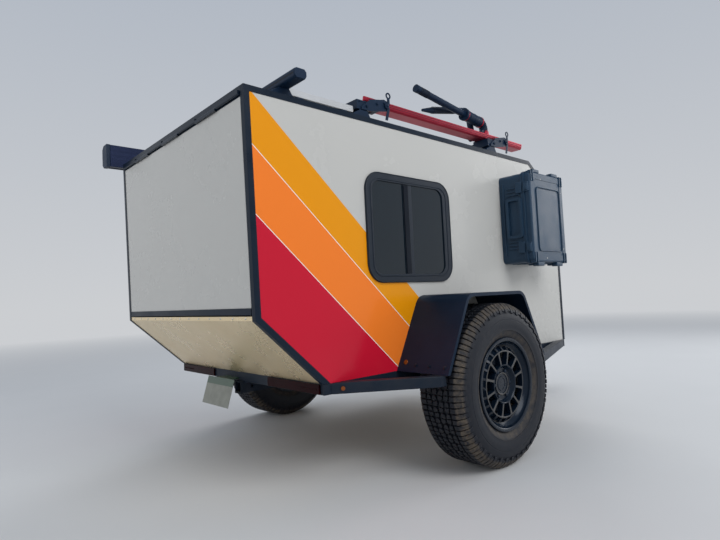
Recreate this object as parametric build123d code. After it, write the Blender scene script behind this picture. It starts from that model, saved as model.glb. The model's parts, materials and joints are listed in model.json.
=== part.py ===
from build123d import *
import math
import os

# Squaredrop camping trailer. Millimetres, +X forward, +Y left, +Z up, on the ground at Z = 0.
# "Along" is measured forward from the lower edge of the upright rear face, "up" from the cabin's underside.

# Cabin box
cabin_width = 1524.0
cabin_length = 2600.0
cabin_height = 1290.0
ride_height = 520.0
rear_edge_up = 306.0
slant_run = 335.0
rear_lean = 20.0
nose_run = 355.0
nose_drop = 235.0
wall = 25.4
board = 18.0
door_gap = 6.0

# Edge angles on the cabin
trim_leg = 25.4
trim_sheet = 2.5

# Chassis tubes
tube = 50.8
tongue_depth = 76.2
tongue_reach = 1150.0
tongue_root_along = 1720.0
tongue_root_side = 560.0
tongue_tip_side = 44.0
cross_member_places = (820.0, 1745.0, cabin_length - tube / 2)
rail_front_setback = 14.0
rail_end_chamfer = 35.0

# Wheels
tyre_radius = 420.0
tyre_tread = 208.0
tyre_section = 286.0
tyre_shoulder = 30.0
tyre_bulge_radius = 318.0
tyre_pitches = 46
lug_gap = 13.0
tread_rubber = 32.0
sidewall_rubber = 16.0
rim_radius = 240.0
rim_width = 236.0
wheel_side = 992.0
axle_along = 1253.0
tyre_gap = 12.0

# Fenders
fender_reach = 328.0
fender_sheet = 4.0
fender_top_half = 256.0
fender_foot_half = 448.0
fender_up = 379.0
fender_round = 75.0
fender_lip = 18.0

# Side windows
window_along = 968.0
window_up = 734.0
window_width = 664.0
window_height = 568.0
window_round = 100.0
window_border = 45.0
window_sash = 19.0
window_proud = 10.0
window_mullion = 68.0
window_mullion_shift = -22.0
glass = 5.0

# Entry door in the left wall
door_front_gap = 125.0
door_up = 590.0
door_width = 640.0
door_along = cabin_length - door_front_gap - door_width / 2
door_height = 900.0
door_round = 95.0
door_window_up = 190.0
door_window_width = 440.0
door_window_height = 400.0

# Galley and bed
bulkhead_along = 600.0
worktop_up = 560.0
shelf_up = 900.0
shelf_from = 340.0
mattress = 110.0

# Rear hatch
hatch_seal = 29.0
sill_lip = 18.0
hatch_pin_radius = 6.0
hatch_knuckles = 7
knuckle_gap = 0.6

# Roof load: bars, awning, solar panel, bicycle tray
bar_width = 65.0
bar_height = 45.0
bar_lift = 60.0
bar_left_end = 790.0
awning_back = 110.0
awning_length = 2100.0
awning_width = 90.0
awning_height = 144.0
awning_drop = 11.0
awning_chamfer = 24.0
solar_from = 262.0
solar_length = 392.0
solar_right = 690.0
solar_width = 1020.0
solar_frame = 32.0
solar_lift = 44.0
tray_from = 735.0
tray_length = 1563.0
tray_right = 690.0
tray_width = 100.0
tray_height = 36.0
tray_wall = 4.0
clamp_seat = 8.0
touch_gap = 0.3

# Roof bars: along, right end. The second and third carry the tray
roof_bars = (
    (222.5, 830.0),
    (712.5, 705.0),
    (1882.5, 705.0),
)

# Hard case on the right wall
case_from = 1848.0
case_width = 425.0
case_up = 552.0
case_height = 573.0
case_depth = 170.5
case_lid_depth = 48.0
case_wall = 5.0
case_round = 32.0

# Tongue jack
jack_back = 270.0
jack_tube_radius = 32.0
jack_bore_radius = 25.9
jack_leg_radius = 25.4
jack_tube_below = 150.0
jack_tube_above = 420.0
jack_foot_radius = 90.0
jack_foot = 8.0
jack_travel = 300.0
jack_stop = 8.0

# Coupler
ball_radius = 25.4
socket_radius = 26.0

half_width = cabin_width / 2
inner_half = half_width - wall
tongue_tip_back = 150.0
tongue_tip_along = cabin_length + tongue_reach - tongue_tip_back
jack_along = tongue_tip_along - jack_back
rear_x = -(cabin_length + tongue_reach - awning_back) / 2
wheel_up = tyre_radius - ride_height
pi = math.pi


def X(along):
    return rear_x + along


def Z(up):
    return ride_height + up


def inset(points, distances):
    """Move each side of a closed counter-clockwise outline inwards by its own distance."""
    sides = []
    count = len(points)
    for index in range(count):
        (x0, z0), (x1, z1) = points[index], points[(index + 1) % count]
        length = math.hypot(x1 - x0, z1 - z0)
        normal = (-(z1 - z0) / length, (x1 - x0) / length)
        shift = distances[index]
        sides.append((x0 + normal[0] * shift, z0 + normal[1] * shift, x1 - x0, z1 - z0))
    moved = []
    for index in range(count):
        ax, az, adx, adz = sides[index - 1]
        bx, bz, bdx, bdz = sides[index]
        share = ((bx - ax) * bdz - (bz - az) * bdx) / (adx * bdz - adz * bdx)
        moved.append((ax + adx * share, az + adz * share))
    return moved


def slab(outline, y0, y1):
    """A plate whose side outline is given as along and up, between two sideways places."""
    corners = [(X(along), min(y0, y1), Z(up)) for along, up in outline]
    return extrude(make_face(Polyline(*corners, close=True)), amount=abs(y1 - y0), dir=(0, 1, 0))


def plan(outline, up0, up1):
    """A plate whose plan outline is given as along and side, between two heights."""
    corners = [(X(along), side, Z(up0)) for along, side in outline]
    return extrude(make_face(Polyline(*corners, close=True)), amount=up1 - up0, dir=(0, 0, 1))


def block(along0, along1, y0, y1, up0, up1):
    """A box between two places along, sideways and up."""
    centre = Pos((X(along0) + X(along1)) / 2, (y0 + y1) / 2, (Z(up0) + Z(up1)) / 2)
    return centre * Box(along1 - along0, y1 - y0, up1 - up0)


def rounded(along, up, width, height, radius, y0, y1):
    """A rounded upright plate centred on a place along and up."""
    sketch = Pos(X(along), max(y0, y1), Z(up)) * (Plane.XZ * RectangleRounded(width, height, radius))
    return extrude(sketch, amount=abs(y1 - y0), dir=(0, -1, 0))


def rod(start, end, radius):
    """A round bar from one point to another."""
    direction = Vector(*end) - Vector(*start)
    return extrude(Plane(origin=start, z_dir=direction) * Circle(radius), amount=direction.length)


def across(along, up, radius, y0, y1):
    """A round bar that lies across the trailer."""
    return rod((X(along), y0, Z(up)), (X(along), y1, Z(up)), radius)


def upright(along, side, radius, up0, up1):
    """A standing round bar."""
    return rod((X(along), side, Z(up0)), (X(along), side, Z(up1)), radius)


def mirrored(shape):
    return mirror(shape, about=Plane.XZ)


# Cabin outline, anticlockwise from the foot of the slant: along, up
outline = [
    (slant_run, 0.0),
    (cabin_length, 0.0),
    (cabin_length, cabin_height - nose_drop),
    (cabin_length - nose_run, cabin_height),
    (-rear_lean, cabin_height),
    (0.0, rear_edge_up),
]
foot, front_foot, nose_foot, nose_top, rear_top, rear_edge = outline
inner = inset(outline, [wall] * len(outline))


def wall_plate(y0, y1):
    return slab(outline, y0, y1)


def window_cut(along, up, width, height, radius, y0, y1):
    """The hole in a panel, halfway under the window frame's border."""
    border = window_border / 2
    return rounded(along, up, width - 2 * border, height - 2 * border, radius - border, y0, y1)


def make_walls():
    right = wall_plate(-half_width, -inner_half)
    right -= window_cut(window_along, window_up, window_width, window_height, window_round,
                        -half_width - 1, -inner_half + 1)
    left = wall_plate(inner_half, half_width)
    left -= window_cut(window_along, window_up, window_width, window_height, window_round,
                       inner_half - 1, half_width + 1)
    left -= rounded(door_along, door_up, door_width, door_height, door_round,
                    inner_half - 1, half_width + 1)
    return right, left


def panel_between(first, second):
    """The cabin panel along one side of the outline, mitred where it meets the next ones."""
    ends = [outline[first], outline[second], inner[second], inner[first]]
    return slab(ends, -inner_half, inner_half)


def make_roof():
    """Roof panel down to the nose's bevel, with the header over the hatch."""
    back = (inner[4][0], cabin_height)
    ends = [outline[3], back, inner[4], inner[3]]
    return slab(ends, -inner_half, inner_half) + rear_header()


def rear_header():
    """The beam over the hatch, with the edge angle that carries the hatch's hinge."""
    lean = rear_lean / (cabin_height - rear_edge_up)
    beam_foot = cabin_height - trim_leg
    top_back = -rear_lean
    beam = slab([(top_back, cabin_height), (top_back + lean * trim_leg, beam_foot),
                 (inner[4][0], beam_foot), (inner[4][0], cabin_height)], -inner_half, inner_half)
    flange = slab([(top_back - trim_sheet, cabin_height + trim_sheet),
                   (top_back - trim_sheet + lean * trim_leg, beam_foot),
                   (top_back + lean * trim_leg, beam_foot), (top_back, cabin_height),
                   (top_back + trim_leg, cabin_height),
                   (top_back + trim_leg, cabin_height + trim_sheet)],
                  -half_width + trim_leg, half_width - trim_leg)
    for y0, y1 in hatch_knuckle_spans(0):
        flange += across(hatch_pin_along, hatch_pin_up, hatch_pin_radius, y0, y1)
        flange += block(hatch_pin_along - hatch_pin_radius, hatch_pin_along + hatch_pin_radius + 3.0,
                        y0, y1, hatch_pin_up, beam_foot + 8.0)
    return beam + flange


# Hinge line of the hatch, just outside the rear face under the header's angle
hatch_pin_up = cabin_height - trim_leg - door_gap
hatch_pin_along = -rear_lean - trim_sheet - hatch_pin_radius + 3.0


def hatch_knuckle_spans(first):
    """Sideways spans of every other knuckle: first 0 is fixed to the header, first 1 to the hatch."""
    span = 2 * (inner_half - door_gap) / hatch_knuckles
    low = -inner_half + door_gap
    return [(low + index * span + knuckle_gap / 2, low + (index + 1) * span - knuckle_gap / 2)
            for index in range(first, hatch_knuckles, 2)]


def edge_line(distance_out, distance_in):
    """A band that follows the cabin's edge from the slant's foot round to the front wall's foot."""
    outer = inset(outline, [0.0] + [-distance_out] * 5)
    inside = inset(outline, [0.0] + [distance_in] * 5)
    return outer[1:] + [outer[0]], inside[1:] + [inside[0]]


def make_edge_trim():
    """The right-hand edge angle: a leg on the wall and a leg round the roof, nose, rear and slant."""
    outer, inside = edge_line(trim_sheet, trim_leg)
    side_leg = slab(outer + inside[::-1], -half_width - trim_sheet, -half_width)
    outer, surface = edge_line(trim_sheet, 0.0)
    edge_leg = slab(outer + surface[::-1], -half_width, -half_width + trim_leg)
    return side_leg + edge_leg


def make_window(along, up, width, height, radius, sash, mullion_shift):
    """A window in the right wall: frame with its mullion and a wider sash edge in front, and its pane."""
    face = -half_width - window_proud
    inside = -inner_half + trim_sheet
    opening_w = width - 2 * window_border - sash
    opening_h = height - 2 * window_border
    opening_r = radius - window_border
    middle = along - sash / 2
    sleeve = window_cut(along, up, width, height, radius, -half_width, inside)
    frame = rounded(along, up, width, height, radius, face, -half_width)
    frame = chamfer(frame.faces().sort_by(Axis.Y)[0].edges(), window_proud / 2)
    frame += sleeve
    frame -= rounded(middle, up, opening_w, opening_h, opening_r, face - 1, inside + 1)
    centre = along + mullion_shift
    mullion = block(centre - window_mullion / 2, centre + window_mullion / 2, face + glass,
                    face + 3 * glass, up - opening_h / 2 - 1, up + opening_h / 2 + 1)
    frame += mullion
    pane = rounded(middle, up, opening_w, opening_h, opening_r, face + 3 * glass, face + 4 * glass)
    return frame, pane


def make_door():
    """The entry door, flush in the left wall, with its own window and handle."""
    width = door_width - 2 * door_gap
    height = door_height - 2 * door_gap
    panel = rounded(door_along, door_up, width, height, door_round - door_gap,
                    inner_half, half_width)
    up = door_up + door_window_up
    panel -= window_cut(door_along, up, door_window_width, door_window_height, window_round,
                        inner_half - 1, half_width + 1)
    frame, pane = make_window(door_along, up, door_window_width, door_window_height,
                              window_round, 0.0, 0.0)
    return panel, mirrored(frame), mirrored(pane)


door_handle_up = 480.0
door_handle_back = 85.0
handle_plate_width = 90.0
handle_plate_height = 108.0
handle_plate_thick = 6.0
handle_plate_round = 12.0
paddle_width = 64.0
paddle_height = 46.0
paddle_thick = 12.0
paddle_round = 8.0
paddle_above = 8.0


def make_door_handle():
    """A paddle handle on its plate near the door's rear edge."""
    along = door_along - door_width / 2 + door_handle_back
    face = half_width + handle_plate_thick
    plate = rounded(along, door_handle_up, handle_plate_width, handle_plate_height, handle_plate_round,
                    half_width, face)
    paddle = rounded(along, door_handle_up + paddle_above, paddle_width, paddle_height, paddle_round,
                     face, face + paddle_thick)
    return plate + paddle


# Door hinges on the front edge: pin place outside the wall's face
door_pin_out = 12.0
door_knuckle_radius = 9.0
door_pin_along = door_along + door_width / 2
hinge_spread = 300.0
hinge_ups = (door_up - hinge_spread, door_up + hinge_spread)
hinge_height = 70.0
hinge_leaf = 4.0
hinge_leaf_width = 35.0
knuckle_web = 3.0


def make_door_hinges():
    """Leaves on the wall with the middle knuckle, and leaves on the door with the outer knuckles."""
    fixed = []
    moving = []
    pin_side = half_width + door_pin_out
    third = hinge_height / 3
    near = door_gap + 1.0
    far = near + hinge_leaf_width
    for up in hinge_ups:
        low = up - hinge_height / 2
        high = up + hinge_height / 2
        knuckle_low = up - third / 2 + knuckle_gap
        knuckle_high = up + third / 2 - knuckle_gap
        leaf = block(door_pin_along + near, door_pin_along + far, half_width, half_width + hinge_leaf,
                     low, high)
        leaf += upright(door_pin_along, pin_side, door_knuckle_radius, knuckle_low, knuckle_high)
        leaf += block(door_pin_along + knuckle_web, door_pin_along + near + 1.0, half_width, pin_side,
                      knuckle_low, knuckle_high)
        fixed.append(leaf)
        leaf = block(door_pin_along - far, door_pin_along - near, half_width,
                     half_width + hinge_leaf, low, high)
        for side in (-1, 1):
            centre = up + side * third
            leaf += upright(door_pin_along, pin_side, door_knuckle_radius,
                            centre - third / 2, centre + third / 2)
            leaf += block(door_pin_along - near - knuckle_web, door_pin_along - knuckle_web, half_width,
                          pin_side, centre - third / 2, centre + third / 2)
        moving.append(leaf)
    return fixed, moving


# Hatch plate between the walls, from under the header down to the sill's lip
hatch_slope = rear_lean / (cabin_height - rear_edge_up)
hatch_top = cabin_height - trim_leg - door_gap
hatch_foot = rear_edge_up + sill_lip + door_gap
hatch_half = inner_half - door_gap


def rear_along(up):
    """Place along of the leaning rear face at a height."""
    return -(up - rear_edge_up) * hatch_slope


def hatch_band(up0, up1, depth0, depth1):
    """Part of the hatch between two heights and two depths behind the rear face."""
    return slab([(rear_along(up0) + depth0, up0), (rear_along(up0) + depth1, up0),
                 (rear_along(up1) + depth1, up1), (rear_along(up1) + depth0, up1)],
                -hatch_half, hatch_half)


def make_hatch():
    panel = hatch_band(hatch_foot + hatch_seal, hatch_top, 0.0, wall)
    for y0, y1 in hatch_knuckle_spans(1):
        panel += across(hatch_pin_along, hatch_pin_up, hatch_pin_radius, y0, y1)
        panel += block(hatch_pin_along - hatch_pin_radius, rear_along(hatch_top) + 2.0, y0, y1,
                       hatch_pin_up - 12.0, hatch_pin_up)
    rail = hatch_band(hatch_foot, hatch_foot + hatch_seal, -trim_sheet, wall)
    return panel, rail


def make_slant_panel():
    """The embossed panel under the rear, folded up into the lip that closes under the hatch."""
    panel = slab([outline[5], outline[0], inner[0], inner[5]], -inner_half, inner_half)
    lip_top = rear_edge_up + sill_lip
    lip = slab([(0.0, rear_edge_up), (inner[5][0], inner[5][1]), (wall, lip_top),
                (rear_along(lip_top), lip_top)], -inner_half, inner_half)
    return panel + lip


def make_galley():
    """Plywood bulkhead behind the sleeping cabin, with the worktop and the shelf over it."""
    bulkhead = block(bulkhead_along, bulkhead_along + board, -inner_half, inner_half,
                     wall, cabin_height - wall)
    worktop = block(wall + door_gap, bulkhead_along, -inner_half, inner_half,
                    worktop_up, worktop_up + board)
    shelf = block(shelf_from, bulkhead_along, -inner_half, inner_half, shelf_up, shelf_up + board)
    front_board = block(shelf_from + board, shelf_from + 2 * board, -inner_half, inner_half,
                        wall, worktop_up)
    return [bulkhead, front_board], [worktop, shelf]


def make_mattress():
    """Foam mattress on the cabin's floor, ahead of the bulkhead."""
    edge = 8.0
    pad = block(bulkhead_along + board + edge, cabin_length - wall - edge, -inner_half + edge,
                inner_half - edge, wall + 0.3, wall + mattress)
    return fillet(pad.edges().filter_by(Axis.Z), 40.0)


def make_fender():
    """Right fender: bent sheet with rounded shoulders and a lip turned down at its outer edge."""
    outer_side = half_width + fender_reach
    foot_half = fender_foot_half
    shape = [(axle_along - foot_half, 0.0), (axle_along + foot_half, 0.0),
             (axle_along + fender_top_half, fender_up), (axle_along - fender_top_half, fender_up)]

    def hump(depth, y0, y1):
        sides = inset(shape, [0.0, depth, depth, depth])
        if depth > 0:
            low = inset(sides, [-5.0, 0.0, 0.0, 0.0])
        else:
            low = sides
        body = slab(low, y0, y1)
        shoulders = body.edges().filter_by(Axis.Y).sort_by(Axis.Z)[-2:]
        return fillet(shoulders, fender_round - depth)

    fender = hump(0.0, -outer_side, -half_width)
    fender -= hump(fender_sheet, -outer_side + fender_sheet, -half_width + 1)
    fender -= hump(fender_lip, -outer_side - 1, -outer_side + fender_sheet + 1)
    return fender


# Side rails: the tubes that run out from the cabin's corners to the fender's feet
rail_outer_side = half_width + fender_reach - 22.0
rail_rear_from = 372.0
rail_rear_to = axle_along - tyre_radius - tyre_gap
rail_front_from = axle_along + tyre_radius + tyre_gap
rail_front_to = cabin_length - rail_front_setback


def kick_rail(root, tip):
    """Plan of one tube from the cabin's side (root) to the fender's foot (tip), cut square there."""
    way = 1.0 if tip > root else -1.0
    corner = tip - way * rail_end_chamfer
    run = abs(corner - root)
    rise = rail_outer_side - half_width
    sine = rise / math.hypot(run, rise)
    inner_root = root + way * tube / sine
    inner_tip_side = half_width + abs(tip - inner_root) * rise / run
    shape = [(root, -half_width), (corner, -rail_outer_side), (tip, -rail_outer_side),
             (tip, -inner_tip_side), (inner_root, -half_width)]
    return plan(shape, -tube, 0.0)


def make_side_rails():
    return [kick_rail(rail_rear_from, rail_rear_to), kick_rail(rail_front_to, rail_front_from)]


def make_frame_rails():
    start = slant_run + tube
    right = block(start, cabin_length, -half_width, -half_width + tube, -tube, 0.0)
    return [right, mirrored(right)]


def make_cross_members():
    return [block(along - tube / 2, along + tube / 2, -half_width + tube, half_width - tube, -tube, 0.0)
            for along in cross_member_places]


def make_tongue():
    """The two tubes of the A-frame, lapped under the cross members."""
    run = tongue_tip_along - tongue_root_along
    rise = tongue_root_side - tongue_tip_side
    half = tube / 2 * math.hypot(run, rise) / run
    shape = [(tongue_root_along, tongue_root_side - half), (tongue_tip_along, tongue_tip_side - half),
             (tongue_tip_along, tongue_tip_side + half), (tongue_root_along, tongue_root_side + half)]
    left = plan(shape, -tube - tongue_depth, -tube)
    return [left, mirrored(left)]


def tongue_side(along):
    """Sideways place of the A-frame tube's middle line."""
    share = (along - tongue_root_along) / (tongue_tip_along - tongue_root_along)
    return tongue_root_side + (tongue_tip_side - tongue_root_side) * share


nose_radius = 36.0
ball_drop = 30.0
coupler_along = cabin_length + tongue_reach - nose_radius
coupler_up = -tube - ball_drop
coupler_plate = 6.0
coupler_length = 175.0
neck_height = 34.0
neck_round = 14.0
neck_overlap = 170.0
skirt_drop = 22.0
lever_back = 150.0
lever_seat = 70.0
lever_half = 9.0


def make_coupler():
    """Ball coupler: a plate over the A-frame, a channel neck and the socket at the nose."""
    back = tongue_tip_along - coupler_length
    back_half = tongue_side(back) + tube / 2
    tip_half = tongue_side(tongue_tip_along) + tube / 2
    plate_top = -tube + coupler_plate
    neck_top = plate_top + neck_height
    skirt_foot = coupler_up - skirt_drop
    plate = plan([(back, -back_half), (tongue_tip_along, -tip_half), (tongue_tip_along, tip_half),
                  (back, back_half)], -tube, plate_top)
    neck = block(tongue_tip_along - neck_overlap, coupler_along, -nose_radius, nose_radius,
                 plate_top, neck_top)
    neck = fillet(neck.edges().filter_by(Axis.X).sort_by(Axis.Z)[-2:], neck_round)
    skirt = block(tongue_tip_along + 2.0, coupler_along, -nose_radius, nose_radius, skirt_foot, plate_top)
    nose = upright(coupler_along, 0.0, nose_radius, skirt_foot, neck_top)
    nose = fillet(nose.edges().sort_by(Axis.Z)[-1:], neck_round)
    head = plate + neck + skirt + nose
    head -= Pos(X(coupler_along), 0, Z(coupler_up)) * Sphere(socket_radius)
    head -= upright(coupler_along, 0.0, socket_radius, skirt_foot - 1, coupler_up)
    head -= block(tongue_tip_along + 14.0, coupler_along - socket_radius - 4, -socket_radius, socket_radius,
                  skirt_foot - 1, -tube - 8.0)
    return head + coupler_lever(neck_top)


def coupler_lever(seat):
    """The lever that locks the ball, lying on the coupler's neck."""
    back = coupler_along - lever_back
    return slab([(back, seat - 2.0), (back + lever_seat, seat - 2.0), (back + lever_seat, seat + 14.0),
                 (back + 26.0, seat + 16.0), (back - 60.0, seat + 34.0), (back - 62.0, seat + 26.0)],
                -lever_half, lever_half)


jack_bracket_half = 80.0
jack_bracket = 8.0
jack_head = 60.0
crank_drop = 16.0
crank_shaft_radius = 7.0
crank_out = 34.0
crank_bar = 8.0
crank_throw = 138.0
crank_grip_radius = 12.0
crank_grip = 100.0


def make_jack():
    """Screw jack: fixed tube with its mounting plate and crank, and the leg that slides in it."""
    front_half = tongue_side(jack_along + jack_bracket_half) + tube / 2
    back_half = tongue_side(jack_along - jack_bracket_half) + tube / 2
    bracket = plan([(jack_along - jack_bracket_half, -back_half), (jack_along + jack_bracket_half, -front_half),
                    (jack_along + jack_bracket_half, front_half), (jack_along - jack_bracket_half, back_half)],
                   -tube, -tube + jack_bracket)
    foot = -jack_tube_below - tube
    body = upright(jack_along, 0.0, jack_tube_radius, foot, jack_tube_above)
    head = upright(jack_along, 0.0, jack_tube_radius + 5.0, jack_tube_above - jack_head + 14.0,
                   jack_tube_above + 14.0)
    fixed = bracket + body + head
    fixed -= upright(jack_along, 0.0, jack_bore_radius, foot - 1, jack_tube_above - jack_head)
    crank_up = jack_tube_above - crank_drop
    elbow = jack_tube_radius + crank_out
    fixed += across(jack_along, crank_up, crank_shaft_radius, jack_tube_radius - 2.0, elbow)
    fixed += block(jack_along - crank_bar, jack_along + crank_bar, elbow - crank_bar, elbow,
                   crank_up - crank_throw - crank_grip_radius, crank_up + crank_bar)
    fixed += across(jack_along, crank_up - crank_throw, crank_grip_radius, elbow - crank_bar / 2,
                    elbow + crank_grip)
    leg_top = jack_tube_above - jack_head - jack_travel - jack_stop
    leg = upright(jack_along, 0.0, jack_leg_radius, -ride_height + jack_foot, leg_top)
    leg += upright(jack_along, 0.0, jack_foot_radius, -ride_height, -ride_height + jack_foot)
    return fixed, leg


def make_tail_beam():
    return block(slant_run, slant_run + tube, -half_width, half_width, -tube, 0.0)


lamp_from = 300.0
lamp_to = 735.0
lamp_height = 45.0
lamp_proud = 10.0
marker_radius = 10.0


def make_tail_lamps():
    """Red lamp bars on the tail beam, one each side."""
    middle = -tube / 2
    lamp = block(slant_run - lamp_proud, slant_run, lamp_from, lamp_to,
                 middle - lamp_height / 2, middle + lamp_height / 2)
    lamp = fillet(lamp.edges().filter_by(Axis.Y).sort_by(Axis.X)[:2], 3.0)
    return [lamp, mirrored(lamp)]


def make_marker_lamps():
    """Round amber lamps where the rear side rails leave the cabin."""
    rise = rail_outer_side - half_width
    run = rail_rear_to - rail_end_chamfer - rail_rear_from
    along = rail_rear_from + 45.0
    side = half_width + 45.0 * rise / run
    length = math.hypot(run, rise)
    out = (-rise / length, run / length)
    start = (X(along), side, Z(-tube / 2))
    end = (start[0] + out[0] * 8.0, start[1] + out[1] * 8.0, start[2])
    lamp = rod(start, end, marker_radius)
    return [lamp, mirrored(lamp)]


receiver_size = 63.5
receiver_bore = 51.5
receiver_length = 230.0
receiver_pin_radius = 8.0
receiver_pin_back = 55.0


def make_receiver():
    """Accessory receiver under the tail beam, with its cross pin hole."""
    half = receiver_size / 2
    bore = receiver_bore / 2
    top = -tube
    socket = block(slant_run - 6.0, slant_run + receiver_length, -half, half, top - receiver_size, top)
    socket -= block(slant_run - 7.0, slant_run + receiver_length + 1, -bore, bore,
                    top - half - bore, top - half + bore)
    collar = block(slant_run - 16.0, slant_run - 6.0, -half - 5, half + 5, top - receiver_size - 5, top)
    collar -= block(slant_run - 17.0, slant_run - 5.0, -bore, bore, top - half - bore, top - half + bore)
    socket += collar
    socket -= across(slant_run + receiver_pin_back, top - half, receiver_pin_radius, -half - 1, half + 1)
    return socket


plate_width = 305.0
plate_height = 152.0
plate_side = 85.0
plate_top_along = 262.0
plate_tilt = 17.0
plate_sheet = 2.0
plate_drop = 30.0
bracket_half = 70.0
bracket_reach = 80.0
bracket_sheet = 4.0


def make_number_plate():
    """Blank plate and the folded bracket that holds it off the tail beam."""
    tilt = math.radians(plate_tilt)
    lean = math.sin(tilt)
    fall = math.cos(tilt)
    top = -plate_drop
    foot_along = plate_top_along - plate_height * lean
    foot_up = top - plate_height * fall
    back_along = plate_sheet * fall
    back_up = -plate_sheet * lean
    y0 = plate_side - plate_width / 2
    y1 = plate_side + plate_width / 2
    plate = slab([(plate_top_along, top), (foot_along, foot_up),
                  (foot_along + back_along, foot_up + back_up),
                  (plate_top_along + back_along, top + back_up)], y0, y1)
    end_along = plate_top_along - bracket_reach * lean + back_along
    end_up = top - bracket_reach * fall + back_up
    fold_up = top - 2 * bracket_sheet
    bracket = slab([(plate_top_along + back_along, top + back_up), (end_along, end_up),
                    (end_along + bracket_sheet * fall, end_up - bracket_sheet * lean),
                    (plate_top_along + back_along + bracket_sheet * fall + 2.0, fold_up),
                    (slant_run, fold_up), (slant_run, top - bracket_sheet / 2)],
                   plate_side - bracket_half, plate_side + bracket_half)
    return plate + bracket


# Axle: cross tube ahead of the wheels, trailing arms and spindles
axle_tube = 70.0
arm_length = 150.0
arm_side = half_width + 26.0
arm_thick = 28.0
arm_eye_radius = 44.0
arm_boss_radius = 36.0
spindle_radius = 20.0
spindle_end = 30.0
bearing_gap = 0.3
beam_round = 8.0
beam_pad_half = 70.0
beam_pad_width = 60.0
beam_pad = 8.0


def make_axle():
    along = axle_along - arm_length
    half = axle_tube / 2
    up = -tube - half
    beam = block(along - half, along + half, -arm_side, arm_side, up - half, up + half)
    beam = fillet(beam.edges().filter_by(Axis.Y), beam_round)
    for side in (-1, 1):
        middle = side * (half_width - tube / 2)
        beam += block(along - beam_pad_half, along + beam_pad_half, middle - beam_pad_width / 2,
                      middle + beam_pad_width / 2, -tube - beam_pad, -tube)
    return beam


def make_arm():
    """Right trailing arm with the spindle that carries the hub."""
    along = axle_along - arm_length
    root_up = -tube - axle_tube / 2
    y0 = -arm_side - arm_thick
    y1 = -arm_side
    eye = across(along, root_up, arm_eye_radius, y0, y1)
    boss = across(axle_along, wheel_up, arm_boss_radius, y0, y1)
    root_half = arm_eye_radius - 12.0
    end_half = arm_boss_radius - 8.0
    web = slab([(along, root_up - root_half), (axle_along, wheel_up - end_half),
                (axle_along, wheel_up + end_half), (along, root_up + root_half)], y0, y1)
    spindle = across(axle_along, wheel_up, spindle_radius, -wheel_side - spindle_end, y0)
    return eye + boss + web + spindle


# Wheel: the spoked face stands back from the rim's outer edge
face_back = 40.0
disc_thick = 24.0
seat_depth = 14.3
barrel_radius = 190.0
barrel_wall = 8.0
hub_seat_depth = 40.0
hub_bore = 51.0
drum_radius = 150.0
drum_depth = 70.0
drum_wall = 8.0
drum_back = 10.0
hub_core_radius = 60.0
hub_core_depth = 62.0
cap_radius = 50.0
cap_lip = 12.0
cap_recess = 7.0

# Windows between the spokes: radius, half the web that stays between two windows
spokes = 12
window_steps = (
    (98.0, 10.0),
    (150.0, 6.0),
    (166.0, 16.0),
)

# Blind pockets around the spoked face's ring
ring_pockets = 24
pocket_from = 173.0
pocket_to = 185.0
pocket_half = 8.0
pocket_depth = 9.0


def spin(profile, side):
    """Turn a section, given as radius and sideways place from the wheel's middle, about the axle."""
    points = [(X(axle_along), side + y, Z(wheel_up) + radius) for radius, y in profile]
    face = make_face(Polyline(*points, close=True))
    axis = Axis((X(axle_along), side, Z(wheel_up)), (0, 1, 0))
    return revolve(face, axis, 360)


# Shoulder grooves of the tyre: from a place in the tread down the shoulder
lug_root_side = 86.0
lug_foot_side = 137.0
lug_foot_depth = 56.0
lug_overrun = 12.0
lug_clear = 40.0


def tyre_section_half():
    """Half of the tyre's section, as sideways place and radius, from the tread's middle to its inner wall."""
    seat = rim_radius - seat_depth + touch_gap
    tread = tyre_tread / 2
    bulge = tyre_section / 2
    bead = rim_width / 2
    outer = [(tread, tyre_radius), (tread + tyre_shoulder, tyre_radius - tyre_shoulder),
             (bulge, tyre_bulge_radius), (bulge - 13.0, rim_radius + 45.0), (bead - 4.0, seat)]
    inner = [(bead - 20.0, seat), (bulge - sidewall_rubber + 1.0, tyre_bulge_radius + 12.0),
             (tread - 16.0, tyre_radius - tread_rubber)]
    return outer + inner


def make_tyre_pitch():
    """One pitch of the tyre at its top: a mitred length of the section with its shoulder grooves."""
    half_turn = pi / tyre_pitches
    half_degrees = math.degrees(half_turn)
    reach = tyre_radius * math.tan(half_turn) * 1.2
    half = tyre_section_half()
    profile = half + [(-y, radius) for y, radius in reversed(half)]
    face = make_face(Polyline(*[(-reach, y, radius) for y, radius in profile], close=True))
    pitch = extrude(face, amount=2 * reach, dir=(1, 0, 0))
    size = 2 * tyre_section
    for way in (-1, 1):
        beyond = Pos(way * size / 2, 0, size / 2) * Box(size, size, size * 1.2)
        pitch -= Rot(0, way * half_degrees, 0) * beyond
    run = lug_foot_side - lug_root_side
    fall = lug_foot_depth
    length = math.hypot(run, fall)
    step = (run / length, -fall / length)
    out = (-step[1], step[0])
    start = (lug_root_side - lug_overrun * step[0], tyre_radius - lug_overrun * step[1])
    end = (lug_foot_side + lug_overrun * step[0], tyre_radius - fall + lug_overrun * step[1])
    corners = [start, end, (end[0] + lug_clear * out[0], end[1] + lug_clear * out[1]),
               (start[0] + lug_clear * out[0], start[1] + lug_clear * out[1])]
    for side in (-1, 1):
        face = make_face(Polyline(*[(-lug_gap / 2, side * y, radius) for y, radius in corners], close=True))
        groove = extrude(face, amount=lug_gap, dir=(1, 0, 0))
        for way in (-1, 1):
            pitch -= Rot(0, way * half_degrees, 0) * groove
    return pitch


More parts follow.
